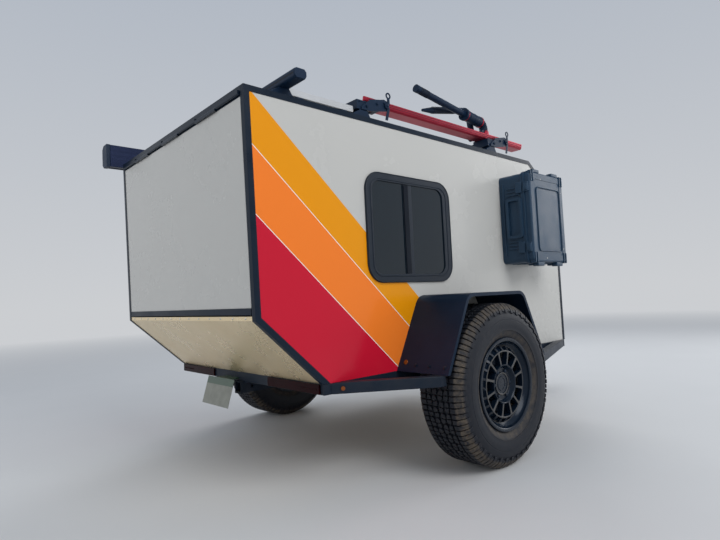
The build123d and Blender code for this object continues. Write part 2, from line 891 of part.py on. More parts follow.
def make_tyre(side):
    """Lugged tyre: one pitch copied around the axle. A facet's middle lies on the ground."""
    pitch = make_tyre_pitch()
    share = 360.0 / tyre_pitches
    copies = [Rot(0, share * (index + 0.5 * (tyre_pitches % 2)), 0) * pitch for index in range(tyre_pitches)]
    tyre = copies[0].fuse(*copies[1:])
    return Pos(X(axle_along), side, Z(wheel_up)) * tyre


def make_rim(side):
    """Cast rim: barrel, deep outer lip, and a twelve-spoke face with a pocketed ring."""
    bead = rim_width / 2
    seat = rim_radius - seat_depth
    face = face_back - bead
    well = barrel_radius + barrel_wall
    barrel = [
        (rim_radius, -bead - 8), (rim_radius, -bead), (seat, -bead), (seat, -bead + 22),
        (well, -bead + 48), (well, bead - 62), (seat, bead - 22), (seat, bead),
        (rim_radius, bead), (rim_radius, bead + 8), (seat - 7, bead + 8), (seat - 7, bead - 24),
        (barrel_radius, bead - 60), (barrel_radius, face), (rim_radius - 21, -bead + 4),
        (rim_radius - 9, -bead - 8),
    ]
    back = face + disc_thick
    seat_face = face + hub_seat_depth
    disc = spin([(barrel_radius + 2, face), (barrel_radius + 2, back), (110.0, back), (100.0, seat_face),
                 (hub_bore, seat_face), (hub_bore, face)], side)
    centre_x = X(axle_along)
    centre_z = Z(wheel_up)

    def spot(radius, angle, y):
        return (centre_x + radius * math.cos(angle), side + y, centre_z + radius * math.sin(angle))

    share = 2 * pi / spokes
    for index in range(spokes):
        sides = []
        for way in (-1, 1):
            sides.append([spot(radius, share * index + way * (share / 2 - web / radius), face - 1)
                          for radius, web in window_steps])
        corners = sides[0] + sides[1][::-1]
        disc -= extrude(make_face(Polyline(*corners, close=True)), amount=hub_seat_depth, dir=(0, 1, 0))
    for index in range(ring_pockets):
        angle = 2 * pi * (index + 0.5) / ring_pockets
        corners = []
        for radius, way in ((pocket_from, -1), (pocket_to, -1), (pocket_to, 1), (pocket_from, 1)):
            corners.append(spot(radius, angle + way * pocket_half / pocket_from, face - 1))
        disc -= extrude(make_face(Polyline(*corners, close=True)), amount=pocket_depth + 1, dir=(0, 1, 0))
    return spin(barrel, side) + disc


def make_hub(side):
    """Brake drum and hub behind the rim, with the cap that fills the rim's middle."""
    face = face_back - rim_width / 2
    seat = face + hub_seat_depth
    bore = spindle_radius + bearing_gap
    drum = spin([(bore, seat), (drum_radius, seat), (drum_radius, seat + drum_depth),
                 (drum_radius - drum_wall, seat + drum_depth), (drum_radius - drum_wall, seat + drum_back),
                 (hub_core_radius, seat + drum_back), (hub_core_radius, seat + hub_core_depth),
                 (bore, seat + hub_core_depth)], side)
    front = face + 3.0
    cap = spin([(0.0, front + cap_recess), (cap_radius - cap_lip, front + cap_recess),
                (cap_radius - cap_lip + 4.0, front), (cap_radius, front), (cap_radius, seat), (0.0, seat)],
               side)
    return drum + cap


foot_side = half_width - 82.0
foot_half_depth = 30.0

# Outline of a bar's foot: along from the bar, height as a share of the bar's lift
foot_outline = (
    (-70.0, 0.0),
    (46.0, 0.0),
    (46.0, 0.45),
    (26.5, 1.0),
    (-26.5, 1.0),
    (-70.0, 0.6),
)


def make_bars():
    """Three roof bars of flattened section, and the feet that hold them off the roof."""
    bars = []
    feet = []
    low = cabin_height + bar_lift
    for along, right_end in roof_bars:
        half = bar_width / 2
        bar = block(along - half, along + half, -right_end, bar_left_end, low, low + bar_height)
        bars.append(fillet(bar.edges().filter_by(Axis.Y), bar_height * 0.3))
        outline = [(along + shift, cabin_height + bar_lift * share) for shift, share in foot_outline]
        for side in (-1, 1):
            middle = side * foot_side
            feet.append(slab(outline, middle - foot_half_depth, middle + foot_half_depth))
    return bars, feet


awning_gap = 5.0
awning_cap = 22.0
awning_shadow = 2.0
hanger_half = 30.0
hanger_arm = 70.0
hanger_sheet = 5.0
hanger_drop = 40.0


def make_awning():
    """Awning case along the left side, its end caps and its hangers on the bars."""
    near = bar_left_end + awning_gap
    far = near + awning_width
    low = cabin_height - awning_drop
    high = low + awning_height
    cut = awning_chamfer
    section = [(near, low), (far - cut, low), (far, low + cut * 0.9), (far, high - cut * 0.9),
               (far - cut, high), (near, high)]

    def length_of(along0, along1, grow):
        pts = [(X(along0), y + (grow if y > near else 0), Z(up) + (grow if up > (low + high) / 2 else -grow))
               for y, up in section]
        return extrude(make_face(Polyline(*pts, close=True)), amount=along1 - along0, dir=(1, 0, 0))

    start = -awning_back
    end = start + awning_length
    case = length_of(start + awning_cap, end - awning_cap, -awning_shadow)
    caps = [length_of(start, start + awning_cap, 0.0), length_of(end - awning_cap, end, 0.0)]
    hangers = []
    bar_low = cabin_height + bar_lift
    for along, right_end in roof_bars:
        plate = block(along - hanger_half, along + hanger_half, bar_left_end, near,
                      bar_low - hanger_drop, bar_low + bar_height)
        arm = block(along - hanger_half, along + hanger_half, bar_left_end - hanger_arm, bar_left_end,
                    bar_low - hanger_sheet, bar_low)
        hangers.append(plate + arm)
    return case, caps, hangers


solar_rim = 12.0
solar_foot = 44.0
solar_foot_back = 60.0


def make_solar():
    """Solar panel: a channel frame with the cell sheet, on four feet between the first two bars."""
    low = cabin_height + solar_lift
    high = low + solar_frame
    y0 = -solar_right
    y1 = y0 + solar_width
    end = solar_from + solar_length
    frame = block(solar_from, end, y0, y1, low, high)
    rim = solar_rim
    frame -= block(solar_from + rim, end - rim, y0 + rim, y1 - rim, low - 1, high + 1)
    rim -= 1.0
    frame += block(solar_from + rim, end - rim, y0 + rim, y1 - rim, high - 8, high - 3)
    feet = []
    half = solar_foot / 2
    for along in (solar_from + solar_foot_back, end - solar_foot_back):
        for side in (y0 + half, y1 - half):
            feet.append(block(along - half, along + half, side - half, side + half, cabin_height, low))
    return frame, feet


def make_tray():
    """Bicycle tray: a long open channel with ribbed sides, notched at its rear end."""
    low = cabin_height + bar_lift + bar_height + clamp_seat
    y0 = -tray_right
    y1 = y0 + tray_width
    mid = (y0 + y1) / 2
    half = tray_width / 2
    rib = 3.0
    section = [
        (y0 + 14, low), (y1 - 14, low), (y1 - 4, low + 8), (y1 - 4 - rib, low + 12), (y1 - 4, low + 16),
        (y1, low + tray_height), (y1 - tray_wall * 2, low + tray_height), (y1 - 14, low + 14),
        (mid + half * 0.36, low + 6), (mid - half * 0.36, low + 6), (y0 + 14, low + 14),
        (y0 + tray_wall * 2, low + tray_height), (y0, low + tray_height), (y0 + 4, low + 16),
        (y0 + 4 + rib, low + 12), (y0 + 4, low + 8),
    ]
    points = [(X(tray_from), y, Z(up)) for y, up in section]
    tray = extrude(make_face(Polyline(*points, close=True)), amount=tray_length, dir=(1, 0, 0))
    notch = upright(tray_from, mid, tray_width * 0.28, low - 1, low + tray_height + 1)
    tray -= notch
    return tray


tray_low = cabin_height + bar_lift + bar_height + clamp_seat
tray_top = tray_low + tray_height
tray_near = -tray_right
tray_far = tray_near + tray_width
clamp_sheet = 6.0
clamp_gap = 16.0
clamp_half = 45.0
clamp_reach = 112.0
clamp_cheek = 41.0

# Outline of a clamp's side plate: along from its bar, height over the roof
clamp_outline = (
    (-18.0, 63.0),
    (52.0, 65.0),
    (181.0, 92.0),
    (193.0, 137.0),
    (150.0, 150.0),
    (112.0, 141.0),
    (48.0, 129.0),
    (-18.0, 77.0),
)


strap_sheet = 4.0
strap_half = 14.0
strap_ahead = 160.0
strap_tail_half = 9.0
strap_tail_foot = 38.0
strap_tail_root = 110.0
ring_ahead = 180.0
ring_above = 176.0
ring_root = 125.0
ring_radius = 18.0
ring_hole = 10.0


def make_strap(along):
    """Wheel strap of one clamp: the band under the tray, its pull ring and its loose end."""
    outside = tray_near - clamp_gap - clamp_sheet
    near = outside - strap_sheet
    inside = tray_far + touch_gap
    under = tray_low - touch_gap
    rear = along + strap_ahead - strap_half
    front = along + strap_ahead + strap_half
    strap = block(rear, front, outside, inside + strap_sheet, under - strap_sheet, under)
    strap += block(rear, front, inside, inside + strap_sheet, under - strap_sheet, tray_top - 2.0)
    ring_along = along + ring_ahead
    ring_up = cabin_height + ring_above
    half = strap_tail_half
    stem = block(ring_along - half, ring_along + half, near, outside,
                 cabin_height + ring_root, ring_up)
    ring = across(ring_along, ring_up, ring_radius, near, outside) + stem
    ring -= across(ring_along, ring_up, ring_hole, near - 1, outside + 1)
    foot_along = along + strap_ahead
    tail = slab([(foot_along - half, cabin_height + strap_tail_foot),
                 (foot_along + half, cabin_height + strap_tail_foot),
                 (ring_along + half, cabin_height + strap_tail_root),
                 (ring_along - half, cabin_height + strap_tail_root)], near, outside)
    return strap + ring + tail


def make_clamps():
    """Clamps that hold the tray on its two bars, each with a shaped plate on the tray's near side."""
    plate_near = tray_near - clamp_gap - clamp_sheet
    plate_far = tray_near - clamp_gap
    clamps = []
    for along, right_end in roof_bars[1:]:
        clamp = slab([(along + shift, cabin_height + up) for shift, up in clamp_outline], plate_near, plate_far)
        clamp += block(along - clamp_half, along + clamp_reach, plate_far, tray_far,
                       tray_low - clamp_seat, tray_low)
        for side in (-1, 1):
            face = along + side * (bar_width / 2 + touch_gap)
            edge = along + side * clamp_half
            clamp += block(min(face, edge), max(face, edge), plate_far, tray_far,
                           tray_low - clamp_seat - clamp_cheek, tray_low - clamp_seat)
        clamps.append(clamp + make_strap(along))
    return clamps


# Folding arms of the tray, with the pin that both turn on
arm_pivot_along = 2000.0
arm_pivot_above = 56.0
arm_pivot_up = tray_top + arm_pivot_above
arm_line = -543.0
hoop_line = -473.0
arm_pin = 8.0
pin_gap = 0.3
yoke_half = 45.0
yoke_core_half = 17.0
yoke_thick = 14.0
yoke_ear = 5.0
yoke_head = 18.0

# Bends of the gripping arm and of the hoop: along and up from the pin
arm_bends = (
    (0.0, 0.0),
    (125.0, 76.0),
    (-20.0, 93.0),
)
hoop_bends = (
    (0.0, 0.0),
    (-40.0, 190.0),
    (-440.0, 109.0),
)
arm_tube = 28.0
arm_bend = 42.0
hoop_tube = 22.0
hoop_bend = 45.0
hoop_tip = (-540.0, 88.75)
hoop_tip_radius = 9.0

# Lengths of the gripping arm after its bend: along and up from the pin, radius
arm_rods = (
    ((0.0, 90.7), (-173.0, 111.0), 36.0),
    ((-173.0, 111.0), (-189.0, 113.0), 42.0),
    ((-189.0, 113.0), (-655.0, 175.0), 22.0),
    ((-655.0, 175.0), (-677.0, 178.0), 25.0),
)


def make_yoke():
    """Casting in the tray that rises beside it, with the pin on which both arms fold."""
    middle = tray_near + tray_width / 2
    rear = arm_pivot_along - yoke_half
    front = arm_pivot_along + yoke_half
    saddle = block(rear, front, middle - yoke_core_half, middle + yoke_core_half,
                   tray_low + 6, tray_top + yoke_thick)
    bridge = block(rear, front, middle, tray_far + yoke_ear, tray_top + touch_gap, tray_top + yoke_thick)
    ear = slab([(rear, tray_top + touch_gap), (front, tray_top + touch_gap),
                (arm_pivot_along + 20, arm_pivot_up + yoke_head),
                (arm_pivot_along - 20, arm_pivot_up + yoke_head)], tray_far, tray_far + yoke_ear)
    pin = across(arm_pivot_along, arm_pivot_up, arm_pin, tray_far + 1, hoop_line + hoop_tube + 8)
    return saddle + bridge + ear + pin


def make_arm_and_hoop():
    """The gripping arm, folded back over the tray, and the hoop beside it."""

    def at(shift, side):
        return (X(arm_pivot_along + shift[0]), side, Z(arm_pivot_up + shift[1]))

    def bent(points, side, radius, bend):
        path = FilletPolyline(*[at(point, side) for point in points], radius=bend)
        return sweep(Plane(origin=path @ 0, z_dir=path % 0) * Circle(radius), path=path)

    def eyed(shape, side, radius, half):
        boss = across(arm_pivot_along, arm_pivot_up, radius, side - half, side + half)
        hole = across(arm_pivot_along, arm_pivot_up, arm_pin + pin_gap, side - radius, side + radius)
        return shape + boss - hole

    arm = eyed(bent(arm_bends, arm_line, arm_tube, arm_bend), arm_line, arm_tube + 3, arm_tube)
    for start, end, radius in arm_rods:
        arm += rod(at(start, arm_line), at(end, arm_line), radius)
    hoop = eyed(bent(hoop_bends, hoop_line, hoop_tube, hoop_bend), hoop_line, hoop_tube + 3, hoop_tube)
    return arm, hoop + hoop_end(at(hoop_bends[-1], hoop_line), at(hoop_tip, hoop_line))


def hoop_end(start, end):
    """The hoop's tapered tip."""
    line = Vector(*end) - Vector(*start)
    plane = Plane(origin=start, z_dir=line)
    return plane * Pos(0, 0, line.length / 2) * Cone(hoop_tube, hoop_tip_radius, line.length)


case_face = -half_width
case_seam = case_face - case_depth
case_centre = case_from + case_width / 2
case_middle = case_up + case_height / 2
case_gap = 1.5


def make_case():
    """Hard case: a deep base on the wall and a shallow lid hinged on its front long side."""
    width = case_width
    height = case_height
    base = rounded(case_centre, case_middle, width, height, case_round, case_seam, case_face)
    base -= rounded(case_centre, case_middle, width - 2 * case_wall, height - 2 * case_wall,
                    case_round - case_wall, case_seam - 1, case_face - case_wall)
    lip = rounded(case_centre, case_middle, width + 16, height + 16, case_round + 8,
                  case_seam, case_seam + 10)
    lip -= rounded(case_centre, case_middle, width - 2 * case_wall, height - 2 * case_wall,
                   case_round - case_wall, case_seam - 1, case_seam + 11)
    base += lip + case_knuckles(ends=False)
    lid_back = case_seam - case_gap
    lid_face = lid_back - case_lid_depth
    lid = rounded(case_centre, case_middle, width, height, case_round, lid_face, lid_back)
    lid = fillet(lid.faces().sort_by(Axis.Y)[0].edges(), 12.0)
    lid -= rounded(case_centre, case_middle, width - 2 * case_wall, height - 2 * case_wall,
                   case_round - case_wall, lid_face + case_wall, lid_back + 1)
    lid_lip = rounded(case_centre, case_middle, width + 16, height + 16, case_round + 8,
                      lid_back - 10, lid_back)
    lid_lip -= rounded(case_centre, case_middle, width - 2 * case_wall, height - 2 * case_wall,
                       case_round - case_wall, lid_back - 11, lid_back + 1)
    lid += lid_lip
    panel = rounded(case_centre, case_middle, width - 90, height - 90, 26.0, lid_face - 1, lid_face + 2.5)
    lid -= panel
    return base, lid + case_knuckles(ends=True)


case_pin_radius = 6.0
case_pin_along = case_from + case_width + 8.0 + case_pin_radius + 1.0
case_pin_side = case_seam - case_gap / 2
case_hinge_places = (-0.3, 0.3)
case_hinge_length = 60.0


def case_knuckles(ends):
    """Hinge barrels beside the case's seam: the ends of each belong to the lid, the middle to the base."""
    pieces = None
    third = case_hinge_length / 3
    for share in case_hinge_places:
        centre = case_middle + share * case_height
        shifts = (-third, third) if ends else (0.0,)
        for shift in shifts:
            low = centre + shift - third / 2 + knuckle_gap / 2
            high = centre + shift + third / 2 - knuckle_gap / 2
            side = case_pin_side - 9.0 if ends else case_pin_side
            piece = upright(case_pin_along, case_pin_side, case_pin_radius, low, high)
            piece += block(case_pin_along - case_pin_radius - 2.0, case_pin_along, side, side + 9.0,
                           low, high)
            pieces = piece if pieces is None else pieces + piece
    return pieces


def make_case_handle():
    """The folded carrying bail on the case's rear long side."""
    middle = case_face - case_depth * 0.62
    outside = case_from - 18.0
    bail = block(outside, outside + 10, middle - 56, middle + 56, case_middle - 128, case_middle + 128)
    bail = fillet(bail.edges().filter_by(Axis.X), 20.0)
    hole = block(outside - 1, outside + 11, middle - 38, middle + 38, case_middle - 110, case_middle + 110)
    bail -= fillet(hole.edges().filter_by(Axis.X), 8.0)
    for side in (-1, 1):
        up = case_middle + side * 60
        bail += block(outside, case_from + 2.0, middle + 38, middle + 54, up - 14, up + 14)
    return bail


def write(name, shape):
    if isinstance(shape, (list, tuple)):
        shape = Compound(children=list(shape))
    shape.label = name
    export_step(shape, os.path.join("parts", name + ".step"))


def both(shape):
    """A right-hand shape and its left-hand twin."""
    shapes = shape if isinstance(shape, (list, tuple)) else [shape]
    return list(shapes) + [mirrored(one) for one in shapes]


def main():
    os.makedirs("parts", exist_ok=True)
    wall_right, wall_left = make_walls()
    window_frame, window_pane = make_window(window_along, window_up, window_width, window_height,
                                            window_round, window_sash, window_mullion_shift)
    door_panel, door_window_frame, door_pane = make_door()
    fixed_hinges, moving_hinges = make_door_hinges()
    hatch_panel, hatch_rail = make_hatch()
    galley_boards, galley_shelves = make_galley()
    jack_body, jack_leg = make_jack()
    bars, bar_feet = make_bars()
    awning_case, awning_caps, awning_hangers = make_awning()
    solar_panel, solar_feet = make_solar()
    rack_arm, rack_hoop = make_arm_and_hoop()
    case_base, case_lid = make_case()

    write("wall_right", wall_right)
    write("wall_left", wall_left)
    write("floor_panel", panel_between(0, 1))
    write("front_wall", panel_between(1, 2))
    write("nose_panel", panel_between(2, 3))
    write("roof_panel", make_roof())
    write("slant_panel", make_slant_panel())
    write("galley_boards", galley_boards)
    write("galley_shelves", galley_shelves)
    write("mattress", make_mattress())
    write("edge_trims", both(make_edge_trim()))
    write("window_frames", both(window_frame))
    write("window_panes", both(window_pane))
    write("door_hinges", fixed_hinges)
    write("door_panel", door_panel)
    write("door_fittings", moving_hinges + [make_door_handle()])
    write("door_window_frame", door_window_frame)
    write("door_pane", door_pane)
    write("hatch_panel", hatch_panel)
    write("hatch_rail", hatch_rail)
    write("fenders", both(make_fender()))
    write("frame_rails", make_frame_rails())
    write("cross_members", [make_tail_beam()] + make_cross_members())
    write("side_rails", both(make_side_rails()))
    write("tongue_rails", make_tongue())
    write("coupler", make_coupler())
    write("jack_body", jack_body)
    write("jack_leg", jack_leg)
    write("tail_lamps", make_tail_lamps())
    write("marker_lamps", make_marker_lamps())
    write("receiver", make_receiver())
    write("number_plate", make_number_plate())
    write("axle_beam", make_axle())
    write("axle_arms", both(make_arm()))
    wheel = {"tyre": make_tyre(-wheel_side), "rim": make_rim(-wheel_side), "hub": make_hub(-wheel_side)}
    for name, shape in wheel.items():
        write(name + "_right", shape)
        write(name + "_left", mirrored(shape))
    write("roof_bars", bars)
    write("roof_feet", bar_feet + solar_feet)
    write("awning_case", awning_case)
    write("awning_fittings", awning_caps + awning_hangers)
    write("solar_panel", solar_panel)
    write("bike_tray", make_tray())
    write("tray_fittings", make_clamps() + [make_yoke()])
    write("rack_arm", rack_arm)
    write("rack_hoop", rack_hoop)
    write("case_base", case_base + make_case_handle())
    write("case_lid", case_lid)


main()
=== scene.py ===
"""The looks of the squaredrop camping trailer, laid out as an add-on and run as a script."""

import json
import math

import bpy
from bpy.props import FloatProperty, FloatVectorProperty, IntProperty, PointerProperty
from mathutils import Matrix, Vector


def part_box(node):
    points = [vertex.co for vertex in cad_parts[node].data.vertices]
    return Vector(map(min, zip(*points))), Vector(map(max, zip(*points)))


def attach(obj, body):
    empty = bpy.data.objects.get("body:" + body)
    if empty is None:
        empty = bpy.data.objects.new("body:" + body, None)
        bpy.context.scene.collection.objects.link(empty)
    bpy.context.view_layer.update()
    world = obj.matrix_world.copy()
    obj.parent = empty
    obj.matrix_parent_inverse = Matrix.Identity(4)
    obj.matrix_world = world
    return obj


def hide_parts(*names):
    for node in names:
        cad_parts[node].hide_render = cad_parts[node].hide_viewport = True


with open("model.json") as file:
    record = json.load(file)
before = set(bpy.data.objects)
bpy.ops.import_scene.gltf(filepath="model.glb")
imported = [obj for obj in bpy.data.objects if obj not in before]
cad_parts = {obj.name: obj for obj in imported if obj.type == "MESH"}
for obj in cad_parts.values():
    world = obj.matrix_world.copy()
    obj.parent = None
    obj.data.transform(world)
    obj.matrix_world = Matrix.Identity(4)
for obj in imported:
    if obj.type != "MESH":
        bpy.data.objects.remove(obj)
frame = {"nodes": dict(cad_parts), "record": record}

bl_info = {
    "name": "Squaredrop trailer looks",
    "version": (1, 0, 0),
    "blender": (4, 5, 0),
    "location": "View3D > Sidebar > Trailer",
    "description": "Finishes and fine pieces of a squaredrop camping trailer",
    "category": "Object",
}

MM = 0.001
TAU = 2 * math.pi

# Reference corner: the lower edge of the upright rear face, and the cabin's underside
REAR_LEAN = 20 * MM
WALL_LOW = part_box("wall_right")[0]
REAR = WALL_LOW.x + REAR_LEAN
UNDER = WALL_LOW.z
SIDE = -WALL_LOW.y


def spot(along, side, up):
    """A place in metres from millimetres ahead of the rear face, leftwards and above the underside."""
    return Vector((REAR + along * MM, side * MM, UNDER + up * MM))


# Sizes and colours that a user would change


def colour(name, value, about):
    return FloatVectorProperty(name=name, description=about, subtype="COLOR", size=3, min=0, max=1,
                               default=value)


def size(name, value, about):
    return FloatProperty(name=name, description=about, default=value, min=0, unit="LENGTH", precision=4)


class TrailerColours(bpy.types.PropertyGroup):
    white: colour("White panel", (0.515, 0.51, 0.485), "Composite skin of the cabin")
    yellow: colour("Yellow stripe", (0.80, 0.295, 0.003), "Upper stripe of the sides")
    orange: colour("Orange stripe", (0.90, 0.21, 0.024), "Middle stripe of the sides")
    red: colour("Red stripe", (0.56, 0.008, 0.030), "Lower stripe of the sides")
    line: colour("Stripe edge", (0.85, 0.80, 0.72), "Thin line between two stripes")
    # The warm tint is partly the aluminium's colour and partly a painted reflection of warm ground.
    stucco: colour("Embossed aluminium", (0.90, 0.73, 0.46), "Slanted rear panel")
    black: colour("Black coating", (0.005, 0.012, 0.024), "Powder coat of steel and trim")
    plastic: colour("Black plastic", (0.010, 0.016, 0.026), "Mouldings")
    case: colour("Storage case", (0.018, 0.044, 0.080), "Weathered shell of the storage case")
    awning: colour("Awning case", (0.0012, 0.006, 0.028), "Anodised case of the awning")
    roof: colour("Roof fittings", (0.006, 0.018, 0.042), "Black bars, clamps and folding arms")
    rubber: colour("Tyre rubber", (0.006, 0.009, 0.016), "Tyres and seals")
    dust: colour("Dust", (0.20, 0.155, 0.105), "Dry earth on the running gear")
    tray: colour("Red tray", (0.38, 0.020, 0.045), "Anodised bicycle tray")
    ply: colour("Plywood", (0.56, 0.38, 0.20), "Boards inside")
    cloth: colour("Mattress cloth", (0.20, 0.21, 0.23), "Cover of the mattress")


class TrailerStripes(bpy.types.PropertyGroup):
    slope: FloatProperty(name="Slope", description="Fall of the stripes for each metre forward",
                         default=0.91)
    top: size("Top edge", 1.282, "Height of the yellow stripe's upper edge at the rear face")
    middle: size("Middle edge", 1.0535, "Height of the edge between yellow and orange")
    low: size("Low edge", 0.7635, "Height of the edge between orange and red")
    line: size("Line width", 0.0036, "Width of the pale lines between the stripes")


class TrailerTyre(bpy.types.PropertyGroup):
    pitches: IntProperty(name="Tread pitches", description="Repeats of the tread round the tyre",
                         default=46, min=8)


class TrailerCamera(bpy.types.PropertyGroup):
    back: FloatProperty(name="Behind", description="Camera behind the rear face", default=1.0825)
    side: FloatProperty(name="Side", description="Camera to the right of the middle", default=2.6065)
    up: FloatProperty(name="Up", description="Camera above the cabin's underside", default=0.3842)
    turn: FloatProperty(name="Turn", description="Azimuth of the view, degrees", default=-42.107)
    lift: FloatProperty(name="Lift", description="Elevation of the view, degrees", default=-3.018)
    roll: FloatProperty(name="Roll", description="Roll of the camera, degrees", default=-2.69)
    lens: FloatProperty(name="Lens", description="Focal length on a 36 mm sensor", default=25.6)


def colours():
    return bpy.context.scene.trailer_colours


# Shader node helpers


class Graph:
    """Short calls that add and join nodes in one tree."""

    def __init__(self, tree):
        self.tree = tree

    def node(self, kind, **values):
        made = self.tree.nodes.new(kind)
        for key, value in values.items():
            setattr(made, key, value)
        return made

    def feed(self, socket, value):
        if isinstance(value, bpy.types.NodeSocket):
            self.tree.links.new(value, socket)
        elif isinstance(value, (tuple, list)) and len(value) == 3 and socket.type == "RGBA":
            socket.default_value = (*value, 1)
        elif hasattr(value, "r"):
            socket.default_value = (value.r, value.g, value.b, 1)
        else:
            socket.default_value = value

    def math(self, operation, a, b=0.0, c=0.0, clamp=False):
        made = self.node("ShaderNodeMath", operation=operation, use_clamp=clamp)
        for socket, value in zip(made.inputs, (a, b, c)):
            self.feed(socket, value)
        return made.outputs[0]

    def times(self, a, b, clamp=False):
        return self.math("MULTIPLY", a, b, clamp=clamp)

    def plus(self, a, b, clamp=False):
        return self.math("ADD", a, b, clamp=clamp)

    def minus(self, a, b):
        return self.math("SUBTRACT", a, b)

    def most(self, a, b):
        return self.math("MAXIMUM", a, b)

    def over(self, value, edge):
        return self.math("GREATER_THAN", value, edge)

    def under(self, value, edge):
        return self.math("LESS_THAN", value, edge)

    def absolute(self, value):
        return self.math("ABSOLUTE", value)

    def mix(self, factor, a, b):
        made = self.node("ShaderNodeMix", data_type="RGBA")
        self.feed(made.inputs[0], factor)
        self.feed(made.inputs[6], a)
        self.feed(made.inputs[7], b)
        return made.outputs[2]

    def blend(self, factor, a, b):
        made = self.node("ShaderNodeMix", data_type="FLOAT")
        self.feed(made.inputs[0], factor)
        self.feed(made.inputs[2], a)
        self.feed(made.inputs[3], b)
        return made.outputs[0]

    def place(self):
        return self.node("ShaderNodeTexCoord").outputs["Object"]

    def parts(self, vector):
        made = self.node("ShaderNodeSeparateXYZ")
        self.feed(made.inputs[0], vector)
        return made.outputs[0], made.outputs[1], made.outputs[2]

    def scaled(self, vector, scale):
        made = self.node("ShaderNodeMapping")
        self.feed(made.inputs["Vector"], vector)
        made.inputs["Scale"].default_value = scale
        return made.outputs[0]

    def noise(self, scale, detail=2.0, roughness=0.5, vector=None):
        made = self.node("ShaderNodeTexNoise")
        self.feed(made.inputs["Vector"], vector or self.place())
        self.feed(made.inputs["Scale"], scale)
        made.inputs["Detail"].default_value = detail
        made.inputs["Roughness"].default_value = roughness
        return made.outputs[0]

    def ramp(self, value, low, high, out_low=0.0, out_high=1.0):
        made = self.node("ShaderNodeMapRange", clamp=True)
        for socket, item in zip(made.inputs, (value, low, high, out_low, out_high)):
            self.feed(socket, item)
        return made.outputs[0]

    def bump(self, height, strength, distance):
        made = self.node("ShaderNodeBump")
        made.inputs["Strength"].default_value = strength
        made.inputs["Distance"].default_value = distance
        self.feed(made.inputs["Height"], height)
        return made.outputs[0]

    def effect(self, name, **values):
        """A shared effect group, with its inputs set by name."""
        made = self.node("ShaderNodeGroup", node_tree=bpy.data.node_groups[name])
        for key, value in values.items():
            self.feed(made.inputs[key.replace("_", " ")], value)
        return made.outputs

    def smudges(self, scale, low=0.35, high=0.8):
        return self.effect("Smudges", Scale=scale, Low=low, High=high)["Mask"]

    def dust(self, amount, top, scale):
        return self.effect("Road dust", Amount=amount, Top=top, Scale=scale)["Mask"]

    def grain(self, scale, depth):
        """The bump of a fine grain."""
        return self.bump(self.effect("Fine grain", Scale=scale)["Height"], 0.3, depth)


def shade(tint, factor, lift=0.0):
    """A colour made darker or paler."""
    return tuple(value * factor + lift for value in tint)


def effect_group(name, inputs, outputs):
    """An empty effect group with named float inputs and named outputs."""
    group = bpy.data.node_groups.new(name, "ShaderNodeTree")
    for label, value in inputs.items():
        socket = group.interface.new_socket(label, in_out="INPUT", socket_type="NodeSocketFloat")
        socket.default_value = value
    for label in outputs:
        group.interface.new_socket(label, in_out="OUTPUT", socket_type="NodeSocketFloat")
    graph = Graph(group)
    return graph, graph.node("NodeGroupInput").outputs, graph.node("NodeGroupOutput").inputs


def build_effects():
    """The effects that several materials share: grain, smudges, dust and the stripes' masks."""
    graph, given, out = effect_group("Fine grain", {"Scale": 900.0}, ["Height"])
    graph.feed(out["Height"], graph.noise(given["Scale"], 2.0, 0.6))

    graph, given, out = effect_group("Smudges", {"Scale": 3.0, "Low": 0.35, "High": 0.75}, ["Mask"])
    cloud = graph.noise(given["Scale"], 5.0, 0.62)
    graph.feed(out["Mask"], graph.ramp(cloud, given["Low"], given["High"]))

    graph, given, out = effect_group("Road dust", {"Amount": 0.5, "Top": 0.9, "Scale": 9.0}, ["Mask"])
    height = graph.parts(graph.place())[2]
    low_down = graph.ramp(height, given["Top"], 0.0)
    upward = graph.parts(graph.node("ShaderNodeNewGeometry").outputs["Normal"])[2]
    resting = graph.ramp(upward, -0.2, 0.9, 0.35, 1.0)
    patches = graph.ramp(graph.noise(given["Scale"], 6.0, 0.7), 0.36, 0.66)
    mask = graph.times(graph.times(low_down, resting), patches)
    graph.feed(out["Mask"], graph.times(mask, given["Amount"], clamp=True))

    low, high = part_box("tyre_right")
    graph, _, out = effect_group("Wheel radius", {}, ["Radius", "Outward"])
    x, y, z = graph.parts(graph.place())
    along = graph.minus(x, (low.x + high.x) / 2)
    above = graph.minus(z, (low.z + high.z) / 2)
    square = graph.plus(graph.times(along, along), graph.times(above, above))
    graph.feed(out["Radius"], graph.math("SQRT", square))
    from_middle = graph.minus(graph.absolute(y), -(low.y + high.y) / 2)
    graph.feed(out["Outward"], graph.absolute(from_middle))

    build_stripe_group()


def build_stripe_group():
    """Masks of the slanted stripes on the cabin's sides."""
    stripes = bpy.context.scene.trailer_stripes
    graph, _, out = effect_group("Side stripes", {}, ["Yellow", "Orange", "Red", "Line"])
    x, y, z = graph.parts(graph.place())
    along = graph.minus(x, REAR)
    level = graph.math("MULTIPLY_ADD", along, stripes.slope, graph.minus(z, UNDER))
    outside = graph.over(graph.absolute(y), SIDE - 0.001)

    def below(height):
        return graph.times(graph.under(level, height), outside)

    yellow, orange, red = below(stripes.top), below(stripes.middle), below(stripes.low)
    graph.feed(out["Yellow"], yellow)
    graph.feed(out["Orange"], orange)
    graph.feed(out["Red"], red)
    half = stripes.line / 2 * math.hypot(1, stripes.slope)
    lines = None
    for height in (stripes.middle, stripes.low):
        near = graph.math("COMPARE", level, height, half)
        lines = near if lines is None else graph.most(lines, near)
    graph.feed(out["Line"], graph.times(lines, outside))


